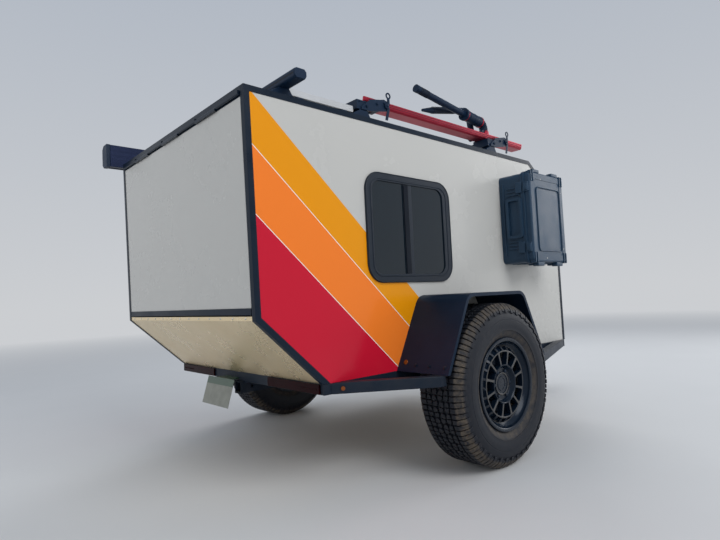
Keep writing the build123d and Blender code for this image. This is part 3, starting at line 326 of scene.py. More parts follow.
def finish_material(name, roughness, metallic=0.0, **fixed):
    """A material with its shader, whose constant values sit on the shader's own sockets."""
    material = bpy.data.materials.new(name)
    material.use_nodes = True
    graph = Graph(material.node_tree)
    shader = material.node_tree.nodes["Principled BSDF"]
    shader.inputs["Roughness"].default_value = roughness
    shader.inputs["Metallic"].default_value = metallic
    for key, value in fixed.items():
        shader.inputs[key.replace("_", " ")].default_value = value
    return material, graph, shader.inputs


# The black band over the hatch's hinge: how deep from the rear face, and from what height
BAND_DEPTH, BAND_UP = 5 * MM, 1246 * MM


def make_white_panel():
    """Composite skin, with the black band along the top of the rear."""
    material, graph, shader = finish_material("white panel", 0.3, Specular_IOR_Level=0.25)
    tint = colours()
    smudge = graph.smudges(2.2, 0.4, 0.8)
    clean = graph.mix(graph.times(smudge, 0.3), tint.white, shade(tint.white, 0.96))
    dust = graph.dust(0.12, 0.95, 6.0)
    x, _, z = graph.parts(graph.place())
    black_band = graph.times(graph.under(x, REAR + BAND_DEPTH), graph.over(z, UNDER + BAND_UP))
    skin = graph.mix(black_band, graph.mix(dust, clean, tint.dust), tint.black)
    graph.feed(shader["Base Color"], skin)
    graph.feed(shader["Roughness"], graph.ramp(smudge, 0.0, 1.0, 0.22, 0.36))
    ripple = graph.noise(5.0, 1.0)
    graph.feed(shader["Normal"], graph.bump(ripple, 0.25, 0.004))
    return material


def make_striped_panel():
    """The skin of the cabin's sides, with their stripes in glossy vinyl."""
    material, graph, shader = finish_material("striped panel", 0.25, Specular_IOR_Level=0.22)
    tint = colours()
    smudge = graph.smudges(2.6, 0.4, 0.8)
    mask = graph.effect("Side stripes")
    skin = graph.mix(graph.times(smudge, 0.3), tint.white, shade(tint.white, 0.96))
    skin = graph.mix(mask["Yellow"], skin, tint.yellow)
    skin = graph.mix(mask["Orange"], skin, tint.orange)
    skin = graph.mix(mask["Red"], skin, tint.red)
    skin = graph.mix(mask["Line"], skin, tint.line)
    dust = graph.dust(0.1, 0.9, 6.0)
    graph.feed(shader["Base Color"], graph.mix(dust, skin, tint.dust))
    vinyl = graph.blend(mask["Yellow"], graph.ramp(smudge, 0.0, 1.0, 0.22, 0.36), 0.16)
    graph.feed(shader["Roughness"], vinyl)
    ripple = graph.plus(graph.noise(4.0, 1.0), graph.times(mask["Yellow"], 0.02))
    graph.feed(shader["Normal"], graph.bump(ripple, 0.25, 0.004))
    return material


def make_stucco():
    """Aluminium sheet rolled with a pebbled pattern. Its warm tint is partly a painted reflection of warm
    ground.
    """
    material, graph, shader = finish_material("embossed aluminium", 0.3, 0.7)
    tint = colours()
    cells = graph.node("ShaderNodeTexVoronoi", feature="SMOOTH_F1")
    graph.feed(cells.inputs["Vector"], graph.place())
    cells.inputs["Scale"].default_value = 170.0
    cells.inputs["Smoothness"].default_value = 0.6
    pebble = graph.minus(1.0, cells.outputs["Distance"])
    pebble = graph.plus(pebble, graph.times(graph.noise(420.0, 2.0), 0.35))
    smudge = graph.smudges(4.0)
    # The stucco colour's warmth is partly a painted reflection of warm ground.
    dulled = graph.mix(graph.times(smudge, 0.4), tint.stucco, shade(tint.stucco, 0.8))
    dust = graph.dust(0.22, 1.0, 7.0)
    graph.feed(shader["Base Color"], graph.mix(dust, dulled, tint.dust))
    graph.feed(shader["Metallic"], graph.minus(0.7, dust))
    graph.feed(shader["Roughness"], graph.ramp(smudge, 0.0, 1.0, 0.24, 0.42))
    graph.feed(shader["Normal"], graph.bump(pebble, 0.55, 0.0012))
    return material


def make_coating(name, tint, roughness, grain, dust_amount, metallic=0.0, depth=0.0004, gloss=0.3):
    """Powder coat, plastic or cast metal: fine grain, uneven sheen and dust low down."""
    material, graph, shader = finish_material(name, roughness, metallic, Specular_IOR_Level=gloss)
    smudge = graph.smudges(7.0, 0.35, 0.75)
    lighter = shade(tint, 1.4, 0.002)
    tone = graph.mix(graph.times(smudge, 0.5), tuple(tint), lighter)
    dust = graph.dust(dust_amount, 1.1, 11.0)
    graph.feed(shader["Base Color"], graph.mix(dust, tone, colours().dust))
    sheen = graph.ramp(smudge, 0.0, 1.0, roughness - 0.07, roughness + 0.09)
    graph.feed(shader["Roughness"], graph.plus(sheen, graph.times(dust, 0.4), clamp=True))
    graph.feed(shader["Normal"], graph.grain(grain, depth))
    return material


def make_alloy():
    """Satin black alloy: faces that look outwards are a little paler, a painted highlight with a fine dust
    tint.
    """
    material, graph, shader = finish_material("black alloy", 0.3, 0.15, Specular_IOR_Level=0.25)
    tint = colours()
    # Painted highlight: faces that look along the axle are paler as if lit, most on the hub's crest and the
    # cap's ring.
    painted_light_facing = graph.absolute(graph.parts(graph.node("ShaderNodeNewGeometry").outputs["Normal"])[1])
    painted_light_facing = graph.ramp(painted_light_facing, 0.72, 0.97)
    reach = graph.effect("Wheel radius")["Radius"]
    crest = graph.times(graph.ramp(reach, 0.098, 0.112), graph.ramp(reach, 0.206, 0.200))
    cap_ring = graph.times(graph.ramp(reach, 0.0485, 0.0495), graph.ramp(reach, 0.0605, 0.060))
    crest = graph.most(graph.most(crest, cap_ring), 0.22)
    painted_light_facing = graph.times(painted_light_facing, crest)
    cloud = graph.ramp(graph.noise(30.0, 5.0, 0.65), 0.3, 0.7, 0.6, 1.0)
    # The film is the painted highlight, broken up by a cloud and tinted with dust.
    film = graph.times(painted_light_facing, cloud)
    graph.feed(shader["Base Color"], graph.mix(film, tint.black, shade(tint.dust, 0.12, 0.07)))
    graph.feed(shader["Roughness"], graph.ramp(film, 0.0, 1.0, 0.22, 0.5))
    graph.feed(shader["Normal"], graph.grain(1500.0, 0.0002))
    return material


def make_rubber():
    """Tyre rubber, dusty on the tread, the shoulder and in a band beside the rim."""
    material, graph, shader = finish_material("tyre rubber", 0.62, Specular_IOR_Level=0.3)
    tint = colours()
    tread_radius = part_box("tyre_right")[1].z / 2
    wheel = graph.effect("Wheel radius")
    reach = wheel["Radius"]
    tread = graph.ramp(reach, tread_radius - 0.012, tread_radius - 0.001)
    beside_rim = graph.times(graph.ramp(reach, 0.235, 0.250), graph.ramp(reach, 0.285, 0.262))
    chamfer = graph.times(graph.ramp(wheel["Outward"], 0.094, 0.102), graph.ramp(reach, 0.378, 0.392))
    speckle = graph.ramp(graph.noise(38.0, 6.0, 0.72), 0.34, 0.62)
    caked = graph.ramp(graph.noise(7.0, 4.0, 0.6), 0.3, 0.75)
    dirty = graph.most(graph.times(tread, 0.06), graph.times(beside_rim, 0.42))
    dirty = graph.most(graph.times(chamfer, 0.6), dirty)
    dirty = graph.most(dirty, 0.05)
    dirty = graph.times(dirty, graph.times(speckle, graph.ramp(caked, 0, 1, 0.45, 1.0)))
    graph.feed(shader["Base Color"], graph.mix(dirty, tint.rubber, tint.dust))
    graph.feed(shader["Roughness"], graph.ramp(dirty, 0.0, 1.0, 0.55, 0.92))
    graph.feed(shader["Normal"], graph.grain(650.0, 0.0006))
    return material


def make_glass():
    """Tinted safety glass."""
    material, graph, shader = finish_material("tinted glass", 0.02, Transmission_Weight=0.35, IOR=1.5)
    film = graph.smudges(6.0, 0.45, 0.9)
    graph.feed(shader["Base Color"], graph.mix(graph.times(film, 0.3), (0.004, 0.014, 0.024),
                                               (0.014, 0.026, 0.036)))
    graph.feed(shader["Roughness"], graph.ramp(film, 0.0, 1.0, 0.01, 0.06))
    return material


def make_lens(name, tint, gloss):
    """Moulded lamp lens with its prisms."""
    material, graph, shader = finish_material(name, 0.14, Specular_IOR_Level=gloss)
    _, y, z = graph.parts(graph.place())
    prisms = graph.plus(graph.math("SINE", graph.times(y, 1400.0)),
                        graph.math("SINE", graph.times(z, 1400.0)))
    smudge = graph.smudges(18.0, 0.4, 0.8)
    graph.feed(shader["Base Color"], graph.mix(smudge, tint, shade(tint, 0.6)))
    graph.feed(shader["Normal"], graph.bump(prisms, 0.25, 0.0005))
    return material


def make_anodised(name, tint):
    """Extruded aluminium, anodised, with lengthwise die lines."""
    material, graph, shader = finish_material(name, 0.33, 0.75)
    lines = graph.noise(1.0, 3.0, 0.6, graph.scaled(graph.place(), (1.5, 260.0, 260.0)))
    smudge = graph.smudges(9.0)
    graph.feed(shader["Base Color"], graph.mix(graph.times(smudge, 0.5), tint, shade(tint, 0.65)))
    graph.feed(shader["Roughness"], graph.ramp(lines, 0.3, 0.7, 0.27, 0.42))
    graph.feed(shader["Normal"], graph.bump(lines, 0.2, 0.0004))
    return material


def make_solar_material():
    """Pale anodised frame round dark cells with thin bright busbars, seen on the top side only."""
    material, graph, shader = finish_material("solar panel", 0.25, 0.3, Coat_Weight=0.4)
    low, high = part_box("solar_panel")
    x, y, z = graph.parts(graph.place())
    rim = 0.013

    def inside(value, a, b):
        return graph.times(graph.over(value, a), graph.under(value, b))

    cell = graph.times(inside(x, low.x + rim, high.x - rim), inside(y, low.y + rim, high.y - rim))
    cell = graph.times(cell, graph.over(z, high.z - 0.009))
    gap_x = graph.over(graph.math("PINGPONG", graph.minus(x, low.x + rim), 0.0597), 0.0582)
    gap_y = graph.over(graph.math("PINGPONG", graph.minus(y, low.y + rim), 0.083), 0.0815)
    bars = graph.over(graph.math("PINGPONG", y, 0.0138), 0.0133)
    silicon = graph.mix(graph.times(bars, 0.5), (0.008, 0.012, 0.035), (0.45, 0.46, 0.48))
    silicon = graph.mix(graph.most(gap_x, gap_y), silicon, (0.5, 0.5, 0.5))
    smudge = graph.smudges(8.0)
    pale = graph.mix(smudge, (0.60, 0.61, 0.62), (0.47, 0.48, 0.49))
    graph.feed(shader["Base Color"], graph.mix(cell, pale, silicon))
    graph.feed(shader["Roughness"], graph.blend(cell, graph.ramp(smudge, 0, 1, 0.3, 0.45), 0.08))
    graph.feed(shader["Normal"], graph.bump(graph.noise(300.0, 2.0), 0.15, 0.0003))
    return material


def make_plywood():
    """Birch plywood: long grain, a few darker veins."""
    material, graph, shader = finish_material("plywood", 0.5, Coat_Weight=0.25, Coat_Roughness=0.3)
    tint = colours().ply
    grain = graph.noise(6.0, 6.0, 0.65, graph.scaled(graph.place(), (1.2, 16.0, 16.0)))
    vein = graph.node("ShaderNodeTexWave", wave_type="BANDS", bands_direction="Z")
    graph.feed(vein.inputs["Vector"], graph.scaled(graph.place(), (0.6, 1.0, 5.0)))
    vein.inputs["Scale"].default_value = 2.2
    vein.inputs["Distortion"].default_value = 7.0
    vein.inputs["Detail"].default_value = 3.0
    tone = graph.mix(grain, shade(tint, 0.72), shade(tint, 1.2))
    tone = graph.mix(graph.times(vein.outputs["Fac"], 0.35), tone, shade(tint, 0.5))
    graph.feed(shader["Base Color"], tone)
    graph.feed(shader["Normal"], graph.bump(grain, 0.15, 0.0005))
    return material


def make_cloth():
    """Woven, mottled cover."""
    material, graph, shader = finish_material("mattress cloth", 0.9, Sheen_Weight=0.35)
    tint = colours().cloth
    x, y, z = graph.parts(graph.place())
    warp = graph.math("SINE", graph.times(graph.plus(x, z), 3200.0))
    weft = graph.math("SINE", graph.times(graph.minus(y, z), 3200.0))
    weave = graph.times(warp, weft)
    melange = graph.noise(240.0, 3.0, 0.7)
    tone = graph.mix(melange, shade(tint, 0.65), shade(tint, 1.45))
    graph.feed(shader["Base Color"], tone)
    graph.feed(shader["Normal"], graph.bump(weave, 0.3, 0.0005))
    return material


def make_plate_material():
    """Blank number plate: pale sheeting painted dark grey as painted shade, with a dark green band along
    its top.
    """
    material, graph, shader = finish_material("number plate", 0.3, Coat_Weight=0.4)
    low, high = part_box("number_plate")
    z = graph.parts(graph.place())[2]
    share = graph.ramp(z, low.z, high.z)
    band = graph.over(share, 0.74)
    smudge = graph.smudges(22.0, 0.35, 0.75)
    # Painted shade: the pale sheeting gets a dark grey, as in the shadow under the trailer.
    painted_shade_field = graph.mix(smudge, (0.20, 0.21, 0.175), (0.14, 0.145, 0.12))
    graph.feed(shader["Base Color"], graph.mix(band, painted_shade_field, (0.035, 0.075, 0.045)))
    graph.feed(shader["Normal"], graph.bump(graph.noise(500.0), 0.12, 0.0003))
    return material


def make_zinc():
    """Zinc plated steel, dusty low down."""
    material, graph, shader = finish_material("zinc plate", 0.38, 0.85)
    spangle = graph.noise(60.0, 3.0, 0.6)
    graph.feed(shader["Base Color"], graph.mix(spangle, (0.34, 0.35, 0.36), (0.52, 0.53, 0.54)))
    dust = graph.dust(0.5, 1.0, 12.0)
    graph.feed(shader["Roughness"], graph.plus(graph.ramp(spangle, 0.3, 0.7, 0.28, 0.45), dust, clamp=True))
    graph.feed(shader["Normal"], graph.bump(spangle, 0.15, 0.0004))
    return material


def make_bright():
    """Plain metal of screws and rivets."""
    material, graph, shader = finish_material("bright fasteners", 0.28, 0.9)
    smudge = graph.smudges(40.0)
    graph.feed(shader["Base Color"], graph.mix(smudge, (0.60, 0.59, 0.57), (0.36, 0.35, 0.34)))
    graph.feed(shader["Roughness"], graph.ramp(smudge, 0.0, 1.0, 0.22, 0.42))
    graph.feed(shader["Normal"], graph.bump(graph.noise(700.0), 0.1, 0.0002))
    return material


HORIZON = (0.80, 0.82, 0.85)
ZENITH = (0.50, 0.57, 0.68)
SKY_STRENGTH = 0.75


def make_floor_material():
    """Pale floor that runs into the sky's own colour far from the trailer."""
    material, graph, shader = finish_material("studio floor", 0.75)
    speck = graph.noise(2.0, 3.0)
    pale = graph.mix(speck, (0.60, 0.60, 0.595), (0.63, 0.63, 0.625))
    graph.feed(shader["Base Color"], pale)
    graph.feed(shader["Roughness"], graph.ramp(speck, 0.0, 1.0, 0.7, 0.8))
    x, y, _ = graph.parts(graph.place())
    reach = graph.math("SQRT", graph.plus(graph.times(x, x), graph.times(y, y)))
    haze = graph.node("ShaderNodeEmission")
    graph.feed(haze.inputs["Color"], HORIZON)
    graph.feed(haze.inputs["Strength"], SKY_STRENGTH)
    both = graph.node("ShaderNodeMixShader")
    graph.feed(both.inputs[0], graph.ramp(reach, 5.0, 16.0))
    graph.tree.links.new(graph.tree.nodes["Principled BSDF"].outputs[0], both.inputs[1])
    graph.tree.links.new(haze.outputs[0], both.inputs[2])
    graph.tree.links.new(both.outputs[0], graph.tree.nodes["Material Output"].inputs["Surface"])
    return material


def build_materials():
    tint = colours()
    return {
        "white": make_white_panel(),
        "striped": make_striped_panel(),
        "stucco": make_stucco(),
        "powder": make_coating("black powder coat", (0.007, 0.016, 0.034), 0.36, 1100.0, 0.0, gloss=0.14),
        "chassis": make_coating("chassis coating", tint.black, 0.46, 900.0, 0.15, gloss=0.2),
        "trim": make_coating("black edge trim", tint.black, 0.34, 1400.0, 0.04, depth=0.0002, gloss=0.15),
        "plastic": make_coating("moulded plastic", tint.plastic, 0.44, 1300.0, 0.06, gloss=0.25),
        "roof_black": make_coating("roof fittings", tint.roof, 0.42, 1300.0, 0.0, gloss=0.15),
        "case": make_coating("case shell", tint.case, 0.4, 1300.0, 0.05, gloss=0.25),
        "alloy": make_alloy(),
        "casting": make_coating("cast iron", shade(tint.black, 1.4), 0.6, 500.0, 0.3, 0.3, 0.0008),
        "rubber": make_rubber(),
        "glass": make_glass(),
        "gloss": make_coating("dark gloss", (0.003, 0.006, 0.012), 0.12, 900.0, 0.0, depth=0.00005,
                              gloss=0.2),
        "red_lens": make_lens("red lens", (0.016, 0.001, 0.002), 0.06),
        "amber_lens": make_lens("amber lens", (0.22, 0.055, 0.008), 0.3),
        "tray": make_anodised("red anodised", tint.tray),
        "awning": make_anodised("awning case", tint.awning),
        "solar": make_solar_material(),
        "plywood": make_plywood(),
        "cloth": make_cloth(),
        "plate": make_plate_material(),
        "zinc": make_zinc(),
        "dark_metal": make_coating("blackened fasteners", shade(tint.black, 1.8), 0.38, 1600.0, 0.4, 0.6,
                                   0.0001),
        "bright_metal": make_bright(),
        "rubber_seal": make_coating("rubber seal", tint.rubber, 0.66, 900.0, 0.15),
        "red_trim": make_anodised("red trim", tint.tray),
    }


MATERIALS = {}

NODE_FINISH = {
    "striped": ("wall_right", "wall_left"),
    "white": ("front_wall", "nose_panel", "roof_panel", "door_panel", "hatch_panel"),
    "stucco": ("slant_panel",),
    "trim": ("edge_trims", "hatch_rail"),
    "powder": ("fenders", "door_hinges", "door_fittings"),
    "chassis": ("frame_rails", "cross_members", "side_rails", "tongue_rails", "coupler", "receiver",
                "axle_beam"),
    "casting": ("axle_arms", "hub_right", "hub_left"),
    "alloy": ("rim_right", "rim_left"),
    "rubber": ("tyre_right", "tyre_left"),
    "plastic": ("window_frames", "door_window_frame"),
    "roof_black": ("roof_feet", "awning_fittings", "tray_fittings", "rack_arm", "rack_hoop", "roof_bars"),
    "case": ("case_base", "case_lid"),
    "glass": ("window_panes", "door_pane"),
    "red_lens": ("tail_lamps",),
    "amber_lens": ("marker_lamps",),
    "tray": ("bike_tray",),
    "awning": ("awning_case",),
    "solar": ("solar_panel",),
    "plywood": ("floor_panel", "galley_boards", "galley_shelves"),
    "cloth": ("mattress",),
    "plate": ("number_plate",),
    "zinc": ("jack_body", "jack_leg"),
}


def dress_nodes():
    """Give every CAD node its material."""
    for finish, names in NODE_FINISH.items():
        for name in names:
            node = frame["nodes"][name]
            node.data.materials.clear()
            node.data.materials.append(MATERIALS[finish])


# Stage


def build_stage():
    deselect()
    bpy.ops.mesh.primitive_plane_add(size=200, location=(0, 0, 0))
    floor = bpy.context.object
    floor.name = "studio_floor"
    floor.data.materials.append(make_floor_material())

    world = bpy.data.worlds.new("studio")
    bpy.context.scene.world = world
    world.use_nodes = True
    graph = Graph(world.node_tree)
    background = world.node_tree.nodes["Background"]
    up = graph.parts(graph.node("ShaderNodeTexCoord").outputs["Generated"])[2]
    height = graph.ramp(up, 0.0, 0.75)
    sky = graph.mix(height, HORIZON, ZENITH)
    graph.feed(background.inputs["Color"], sky)
    background.inputs["Strength"].default_value = SKY_STRENGTH

    for name, place, aim, extent, power in (
        ("key_panel", (-1.0, -7.5, 6.0), (0.2, 0.0, 0.8), 5.0, 350.0),
        ("front_panel", (7.0, -3.5, 3.0), (0.8, -0.7, 1.0), 3.0, 95.0),
        ("fill_panel", (-6.5, 1.5, 3.5), (-1.0, 0.0, 1.0), 4.0, 72.0),
        ("rim_panel", (4.5, 3.5, 5.5), (0.0, 0.0, 1.0), 4.0, 160.0),
    ):
        data = bpy.data.lights.new(name, "AREA")
        data.shape = "SQUARE"
        data.size = extent
        data.energy = power
        lamp = bpy.data.objects.new(name, data)
        bpy.context.scene.collection.objects.link(lamp)
        lamp.location = place
        lamp.rotation_euler = (Vector(aim) - Vector(place)).to_track_quat("-Z", "Y").to_euler()


def build_camera():
    """The photograph's camera, from its fitted place, turn, lift and roll."""
    settings = bpy.context.scene.trailer_camera
    turn, lift, roll = (math.radians(v) for v in (settings.turn, settings.lift, settings.roll))
    back = Vector((math.sin(turn) * math.cos(lift), -math.cos(turn) * math.cos(lift), math.sin(lift)))
    right = Vector((math.cos(turn), math.sin(turn), 0))
    above = back.cross(right)
    right, above = (math.cos(roll) * right + math.sin(roll) * above,
                    -math.sin(roll) * right + math.cos(roll) * above)
    data = bpy.data.cameras.new("photo_camera")
    data.sensor_width = 36
    data.sensor_fit = "HORIZONTAL"
    data.lens = settings.lens
    data.clip_start = 0.05
    camera = bpy.data.objects.new("photo_camera", data)
    bpy.context.scene.collection.objects.link(camera)
    place = Matrix((right, above, back)).transposed().to_4x4()
    place.translation = (REAR - settings.back, -settings.side, UNDER + settings.up)
    camera.matrix_world = place
    bpy.context.scene.camera = camera
    bpy.context.scene.view_settings.view_transform = "Standard"


# Modelling helpers


def deselect():
    if bpy.context.object and bpy.context.object.mode != "OBJECT":
        bpy.ops.object.mode_set(mode="OBJECT")
    bpy.ops.object.select_all(action="DESELECT")


def activate(piece):
    deselect()
    piece.select_set(True)
    bpy.context.view_layer.objects.active = piece


def named(piece, name):
    piece.name = name
    piece.data.name = name
    return piece


def started(name, add, **values):
    """A primitive under its own name, alone in the selection."""
    deselect()
    add(**values)
    return named(bpy.context.object, name)


def edit_all(piece):
    """Open a piece in edit mode with all of it selected."""
    activate(piece)
    bpy.ops.object.mode_set(mode="EDIT")
    bpy.ops.mesh.select_all(action="SELECT")


def pick(piece, test):
    """Open a piece in edit mode with only the faces selected whose normal passes."""
    activate(piece)
    mesh = piece.data
    bpy.context.tool_settings.mesh_select_mode = (False, False, True)
    for part in (mesh.vertices, mesh.edges, mesh.polygons):
        part.foreach_set("select", [False] * len(part))
    for face in mesh.polygons:
        face.select = test(face.normal)
    bpy.ops.object.mode_set(mode="EDIT")


def leave():
    bpy.ops.object.mode_set(mode="OBJECT")


def drawn(name, points, closed):
    """A line through the points, drawn by extruding from one vertex. Closed, it is filled."""
    points = [Vector(point) for point in points]
    made = started(name, bpy.ops.mesh.primitive_plane_add, size=MM, location=points[0])
    bpy.ops.object.transform_apply(location=True, rotation=True, scale=True)
    edit_all(made)
    bpy.context.tool_settings.mesh_select_mode = (True, False, False)
    bpy.ops.mesh.merge(type="CENTER")
    for before, after in zip(points, points[1:]):
        bpy.ops.mesh.extrude_region_move(TRANSFORM_OT_translate={"value": after - before})
    if closed:
        leave()
        for vertex in made.data.vertices:
            vertex.select = vertex.index in (0, len(points) - 1)
        for edge in made.data.edges:
            edge.select = False
        bpy.ops.object.mode_set(mode="EDIT")
        bpy.ops.mesh.edge_face_add()
        bpy.ops.mesh.select_all(action="SELECT")
        bpy.ops.mesh.edge_face_add()
    leave()
    return made


def prism(name, points, depth, bevel=0.0, segments=2):
    """An outline pulled out along a direction, with its edges rounded."""
    made = drawn(name, points, closed=True)
    edit_all(made)
    bpy.context.tool_settings.mesh_select_mode = (False, False, True)
    bpy.ops.mesh.extrude_region_move(TRANSFORM_OT_translate={"value": Vector(depth)})
    close_up(bevel, segments)
    return made


def close_up(bevel, segments=2):
    """Point the faces outwards and round the edges, then leave edit mode."""
    bpy.ops.mesh.select_all(action="SELECT")
    bpy.ops.mesh.normals_make_consistent(inside=False)
    if bevel:
        bpy.ops.mesh.bevel(offset=bevel, offset_type="OFFSET", segments=segments, affect="EDGES",
                           clamp_overlap=True)
    leave()


def turned(name, points, centre, axis, steps=48):
    """A profile turned about an axis through the centre."""
    made = drawn(name, points, closed=False)
    edit_all(made)
    bpy.ops.mesh.spin(steps=steps, angle=TAU, center=centre, axis=axis)
    bpy.ops.mesh.select_all(action="SELECT")
    bpy.ops.mesh.remove_doubles(threshold=0.00002)
    bpy.ops.mesh.normals_make_consistent(inside=False)
    leave()
    return made


# Small turned forms: rings as distance along the axis and radius in mm, from the foot up, and the steps
BOSSES = {
    "nut_seat": (((0, 11.4), (0.9, 11.0), (1.1, 9.0), (1.1, 0)), 20),
    "cap": (((0, 60.0), (5.0, 59.6), (7.4, 57.8), (7.6, 53.0), (6.4, 51.0), (2.6, 49.4), (2.4, 38.0),
             (5.2, 36.0), (5.6, 31.0), (2.8, 29.0), (3.4, 15.0), (3.6, 0)), 64),
    "valve": (((-14, 5.5), (0, 5.2), (2, 4.0), (14, 3.9), (15, 4.6), (26, 4.6), (28, 3.2), (28.3, 0)), 16),
    "lock": (((0, 9), (1.5, 8.6), (2.2, 7.4), (1.2, 6.4), (1.2, 0)), 24),
    "hinge_screw": (((0, 5.5), (0.8, 5.2), (2.0, 3.2), (2.4, 0)), 14),
    "rivet": (((0, 4.8), (1.2, 4.5), (2.4, 2.8), (2.8, 0)), 14),
    "awning_screw": (((0, 5.6), (0.6, 5.2), (1.4, 3.0), (1.6, 0)), 12),
    "clamp_washer": (((0, 10.5), (1.4, 10.2), (1.6, 0)), 20),
    "ratchet": (((0, 15), (9, 15), (11, 13), (11, 6), (14, 5.5), (15, 4), (15, 0)), 24),
    "clamp_knob": (((0, 9), (14, 9), (16, 14), (26, 15), (30, 11), (30, 0)), 20),
    "elbow_rib": (((-2.6, 27.5), (-1.6, 30.2), (1.6, 30.2), (2.6, 27.5)), 28),
    "shroud_rib": (((-5, 35.5), (-3.5, 37.2), (3.5, 37.2), (5, 35.5)), 36),
    "red_ring": (((-5, 36.0), (-4.4, 38.4), (4.4, 38.4), (5, 36.0)), 40),
    "grip_rib": (((-3, 21.7), (-2, 24.0), (2, 24.0), (3, 21.7)), 28),
    "pivot_knob": (((0, 14), (2, 20), (4, 22), (13, 22), (15, 19), (15, 8), (17, 6), (17, 0)), 32),
    "hoop_rib": (((-3, 21.7), (-2, 23.4), (2, 23.4), (3, 21.7)), 24),
    "lip_screw": (((-6, 4.6), (1.0, 4.6), (2.2, 3.0), (2.6, 0)), 14),
    "lamp_bead": (((-1, 4.6), (0.2, 4.4), (1.2, 2.8), (1.5, 0)), 12),
    "fender_washer": (((-0.5, 9.0), (1.2, 8.8), (1.5, 0)), 18),
    "reflector": (((-0.5, 13.0), (2.0, 13.0), (3.6, 11.5), (4.2, 8.0), (4.4, 0)), 28),
    "crank_rib": (((0, 11.8), (1.2, 13.6), (5.2, 13.6), (6.4, 11.8)), 20),
    "jack_cap": (((0, 36.0), (3, 35.5), (7, 31), (9, 20), (9.5, 0)), 40),
}


def boss(name, centre, axis):
    """The small turned form of that name, its foot on the centre."""
    rings, steps = BOSSES[name]
    axis = Vector(axis).normalized()
    across = axis.orthogonal().normalized()
    centre = Vector(centre)
    points = [centre + axis * (up * MM) + across * (radius * MM) for up, radius in rings]
    return turned(name, points, centre, axis, steps)


def hex_nut(name, centre, axis, across, height):
    """A hexagonal nut with chamfered corners and its stud's rounded end."""
    axis = Vector(axis).normalized()
    centre = Vector(centre)
    turn = axis.to_track_quat("Z", "Y").to_euler()
    nut = started(name, bpy.ops.mesh.primitive_cylinder_add, vertices=6, radius=across * MM / 1.732,
                  depth=height * MM, location=centre + axis * (height * MM / 2), rotation=turn)
    bpy.ops.object.transform_apply(location=True, rotation=True, scale=True)
    pick(nut, lambda normal: normal.dot(axis) > 0.9)
    bpy.ops.mesh.inset(thickness=across * MM * 0.16, depth=0)
    bpy.ops.mesh.extrude_region_move(TRANSFORM_OT_translate={"value": axis * (height * MM * 0.22)})
    bpy.ops.mesh.inset(thickness=across * MM * 0.08, depth=0)
    close_up(across * MM * 0.03, 1)
    return nut


def bead(name, low, high, bevel, segments=3):
    """A moulded block between two corners, its edges rounded."""
    low, high = Vector(low), Vector(high)
    made = started(name, bpy.ops.mesh.primitive_cube_add, size=1, location=(low + high) / 2)
    made.scale = high - low
    bpy.ops.object.transform_apply(location=True, rotation=True, scale=True)
    edit_all(made)
    close_up(bevel * MM, segments)
    return made


def tube(name, points, radius, cyclic=False, resolution=6):
    """A round bar of the radius along the points, made a mesh."""
    curve = bpy.data.curves.new(name, "CURVE")
    curve.dimensions = "3D"
    spline = curve.splines.new("POLY")
    spline.points.add(len(points) - 1)
    for vertex, point in zip(spline.points, points):
        vertex.co = (*point, 1)
    spline.use_cyclic_u = cyclic
    curve.bevel_depth = radius * MM
    curve.bevel_resolution = resolution
    curve.use_fill_caps = True
    made = bpy.data.objects.new(name, curve)
    bpy.context.scene.collection.objects.link(made)
    activate(made)
    bpy.ops.object.convert(target="MESH")
    return bpy.context.object


def repeated(piece, places):
    """The piece copied to each place, each copy with its own mesh. The piece itself is one of them."""
    base = piece.data.copy()
    made = []
    for index, place in enumerate(places):
        copy = piece
        if index:
            copy = piece.copy()
            bpy.context.scene.collection.objects.link(copy)
        copy.data = base.copy()
        copy.data.transform(place)
        made.append(copy)
    return made


def joined(name, pieces):
    """Several meshes made one piece."""
    activate(pieces[0])
    for piece in pieces:
        piece.select_set(True)
    if len(pieces) > 1:
        bpy.ops.object.join()
    return named(bpy.context.object, name)


def mirrored(piece, name):
    """A copy on the other side of the trailer's middle."""
    copy = named(repeated(piece, [Matrix.Identity(4), Matrix.Diagonal((1, -1, 1, 1))])[1], name)
    edit_all(copy)
    close_up(0)
    return copy


def moved(shift):
    return Matrix.Translation(Vector(shift))


def about(centre, axis, angle):
    """A turn about an axis through a point."""
    return moved(centre) @ Matrix.Rotation(angle, 4, Vector(axis)) @ moved(-Vector(centre))


def turned_row(piece, centre, axis, count, phase=0.0):
    """The piece repeated around an axis."""
    return repeated(piece, [about(centre, axis, phase + TAU * index / count) for index in range(count)])


def finish_piece(piece, finish, body, smooth=32.0):
    """Shade, dress and hang a finished piece on its body."""
    activate(piece)
    bpy.ops.object.transform_apply(location=True, rotation=True, scale=True)
    if smooth:
        bpy.ops.object.shade_smooth_by_angle(angle=math.radians(smooth))
        apply_modifier(piece, "WEIGHTED_NORMAL", mode="FACE_AREA", weight=50, keep_sharp=True)
    piece.data.materials.clear()
    piece.data.materials.append(MATERIALS[finish])
    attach(piece, body)
    return piece


def assembled(name, pieces, finish, body="trailer", smooth=32.0):
    """Several meshes joined and finished as one piece."""
    return finish_piece(joined(name, pieces), finish, body, smooth)


def apply_modifier(piece, kind, **values):
    activate(piece)
    modifier = piece.modifiers.new(kind.title(), kind)
    for key, value in values.items():
        setattr(modifier, key, value)
    bpy.ops.object.modifier_apply(modifier=modifier.name)


# Pieces of the CAD frame with their edges rounded: node, edge radius in mm, segments

